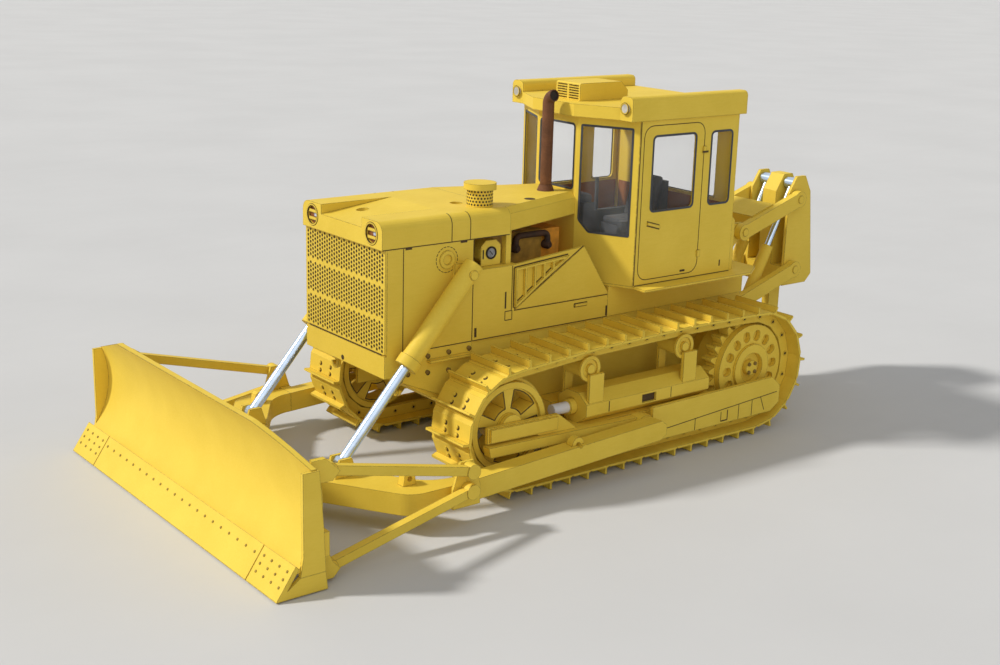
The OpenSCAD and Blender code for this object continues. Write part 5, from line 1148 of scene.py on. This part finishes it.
class HoleOperator(bpy.types.Operator):
    """Darken the grille's holes with painted shade, and add the rows of small holes round the air cleaner
    as discs of painted shade
    """
    bl_idname = "bulldozer.holes"
    bl_label = "Grille and air cleaner holes"

    def execute(self, context):
        size = context.scene.bulldozer_panels
        places = []
        for row in range(CLEANER_ROWS):
            middle = at(*CLEANER) + Vector(UP) * CLEANER_RISE * row * MM
            for k in range(CLEANER_HOLES):
                angle = 2 * pi * (k + 0.5 * (row % 2)) / CLEANER_HOLES
                out = Vector((cos(angle), sin(angle), 0))
                places.append(stand(middle + out * CLEANER_R * MM, out, UP))
        # Each hole is a dark disc of painted shade.
        add_bolts(places, size.hole_r, 0.04 * MM, "cleaner_holes", "engine_dark", "dark_card")
        low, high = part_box("grille")
        step_y = (high.y - low.y) / (COLUMNS + 1)
        band = (high.z - low.z) / BANDS
        step_z = band / (ROWS + 1)
        # Every other column is half a step higher. The dark floors, painted shade in the holes, lie a
        # little behind the grille's face.
        places = []
        for j in range(COLUMNS):
            y = low.y + step_y * (j + 1)
            for i in range(ROWS):
                rise = step_z * (i + 0.75 + (j % 2) / 2)
                for b in range(BANDS):
                    spot = Vector((high.x - 0.3 * MM, y, low.z + band * b + rise))
                    places.append(stand(spot, FORWARD, UP))
        add_bolts(places, *mm(0.5, 0.12), "grille_hole_floors", "engine_dark", "dark_card")
        return {"FINISHED"}


# Camera's place in the drawing, and the ways that the two lights come from.
CAMERA_AT = (321.71, 375.92, 173.05)
KEY_FROM = (0.68, -0.42, 0.70)
FILL_FROM = (0.5, 0.9, 0.6)
# Floor's radius and depth below the shoes, in metres.
FLOOR_R = 6
FLOOR_DROP = 0.0001


def add_sun(name, energy, width, toward, colour):
    """Sun of the given apparent width, in degrees, that shines from the given way."""
    clear_choice()
    bpy.ops.object.light_add(type="SUN", location=toward)
    sun = bpy.context.object
    sun.name = name
    sun.data.energy = energy
    sun.data.angle = radians(width)
    sun.data.color = colour
    sun.rotation_euler = Vector(toward).to_track_quat("Z", "Y").to_euler()


class StageOperator(bpy.types.Operator):
    """Set up the pale floor, the soft light and the camera"""
    bl_idname = "bulldozer.stage"
    bl_label = "Stage"

    def execute(self, context):
        size = context.scene.bulldozer_stage
        tint = context.scene.bulldozer_colours
        floor = model_circle(64, FLOOR_R)
        floor.name = "floor"
        floor.location.z = -FLOOR_DROP
        finish, *_ = plain_finish("pale_floor", tint.floor, 0.955, 9, 160, 0.7, 0.85)
        floor.data.materials.append(finish)
        world = bpy.data.worlds.new("studio")
        context.scene.world = world
        world.use_nodes = True
        tree = world.node_tree
        even = tree.nodes["Background"]
        even.inputs["Color"].default_value = (1, 1, 1, 1)
        even.inputs["Strength"].default_value = size.sky
        # What the camera, a reflection or the film looks out on is a pale backdrop.
        seen = tree.nodes.new("ShaderNodeBackground")
        seen.inputs["Color"].default_value = (*tint.backdrop, 1)
        ray = tree.nodes.new("ShaderNodeLightPath").outputs
        looked = math_node(tree, "MAXIMUM", ray["Is Camera Ray"], ray["Is Glossy Ray"])
        looked = math_node(tree, "MAXIMUM", looked, ray["Is Transmission Ray"])
        either = tree.nodes.new("ShaderNodeMixShader")
        for source, socket in zip((looked, even.outputs[0], seen.outputs[0]), either.inputs):
            tree.links.new(source, socket)
        tree.links.new(either.outputs[0], tree.nodes["World Output"].inputs["Surface"])
        add_sun("key_light", size.key, 6, KEY_FROM, (1.0, 0.97, 0.92))
        add_sun("fill_light", size.fill, 60, FILL_FROM, (1, 1, 1))
        flat = cos(size.pitch)
        ahead = Vector((cos(size.yaw) * flat, sin(size.yaw) * flat, sin(size.pitch)))
        right = ahead.cross(Vector(UP)).normalized()
        over = right.cross(ahead)
        across = right * cos(size.roll) + over * sin(size.roll)
        above = over * cos(size.roll) - right * sin(size.roll)
        clear_choice()
        bpy.ops.object.camera_add()
        camera = bpy.context.object
        camera.data.lens = size.lens
        camera.data.sensor_width = 36
        camera.data.sensor_fit = "HORIZONTAL"
        camera.data.clip_start = 0.01
        camera.data.clip_end = 50
        camera.data.dof.use_dof = False
        pose = Matrix((across, above, -ahead)).transposed().to_4x4()
        pose.translation = at(*CAMERA_AT)
        camera.matrix_world = pose
        context.scene.camera = camera
        context.scene.view_settings.view_transform = "Standard"
        return {"FINISHED"}


OPERATORS = (
    FinishOperator, ShoeBoltOperator, LinkPinOperator, PanelBoltOperator, SeamOperator, WindowTrimOperator,
    CabFittingOperator, LampOperator, GaugeOperator, ManifoldOperator, HoleOperator, StageOperator,
)


class BulldozerPanel(bpy.types.Panel):
    """Buttons for each group of pieces"""
    bl_idname = "VIEW3D_PT_bulldozer"
    bl_label = "Card bulldozer"
    bl_space_type = "VIEW_3D"
    bl_region_type = "UI"
    bl_category = "Bulldozer"

    def draw(self, context):
        for operator in OPERATORS:
            self.layout.operator(operator.bl_idname)


GROUPS = (
    (CardColours, "bulldozer_colours"), (TrackSizes, "bulldozer_tracks"), (PanelSizes, "bulldozer_panels"),
    (CabSizes, "bulldozer_cab"), (StageSizes, "bulldozer_stage"),
)


def register():
    for group, name in GROUPS:
        bpy.utils.register_class(group)
        setattr(bpy.types.Scene, name, PointerProperty(type=group))
    for kind in (*OPERATORS, BulldozerPanel):
        bpy.utils.register_class(kind)


def unregister():
    for kind in reversed((*OPERATORS, BulldozerPanel)):
        bpy.utils.unregister_class(kind)
    for group, name in reversed(GROUPS):
        delattr(bpy.types.Scene, name)
        bpy.utils.unregister_class(group)


def main():
    register()
    for operator in OPERATORS:
        family, name = operator.bl_idname.split(".")
        getattr(getattr(bpy.ops, family), name)()


if __name__ == "__main__":
    main()
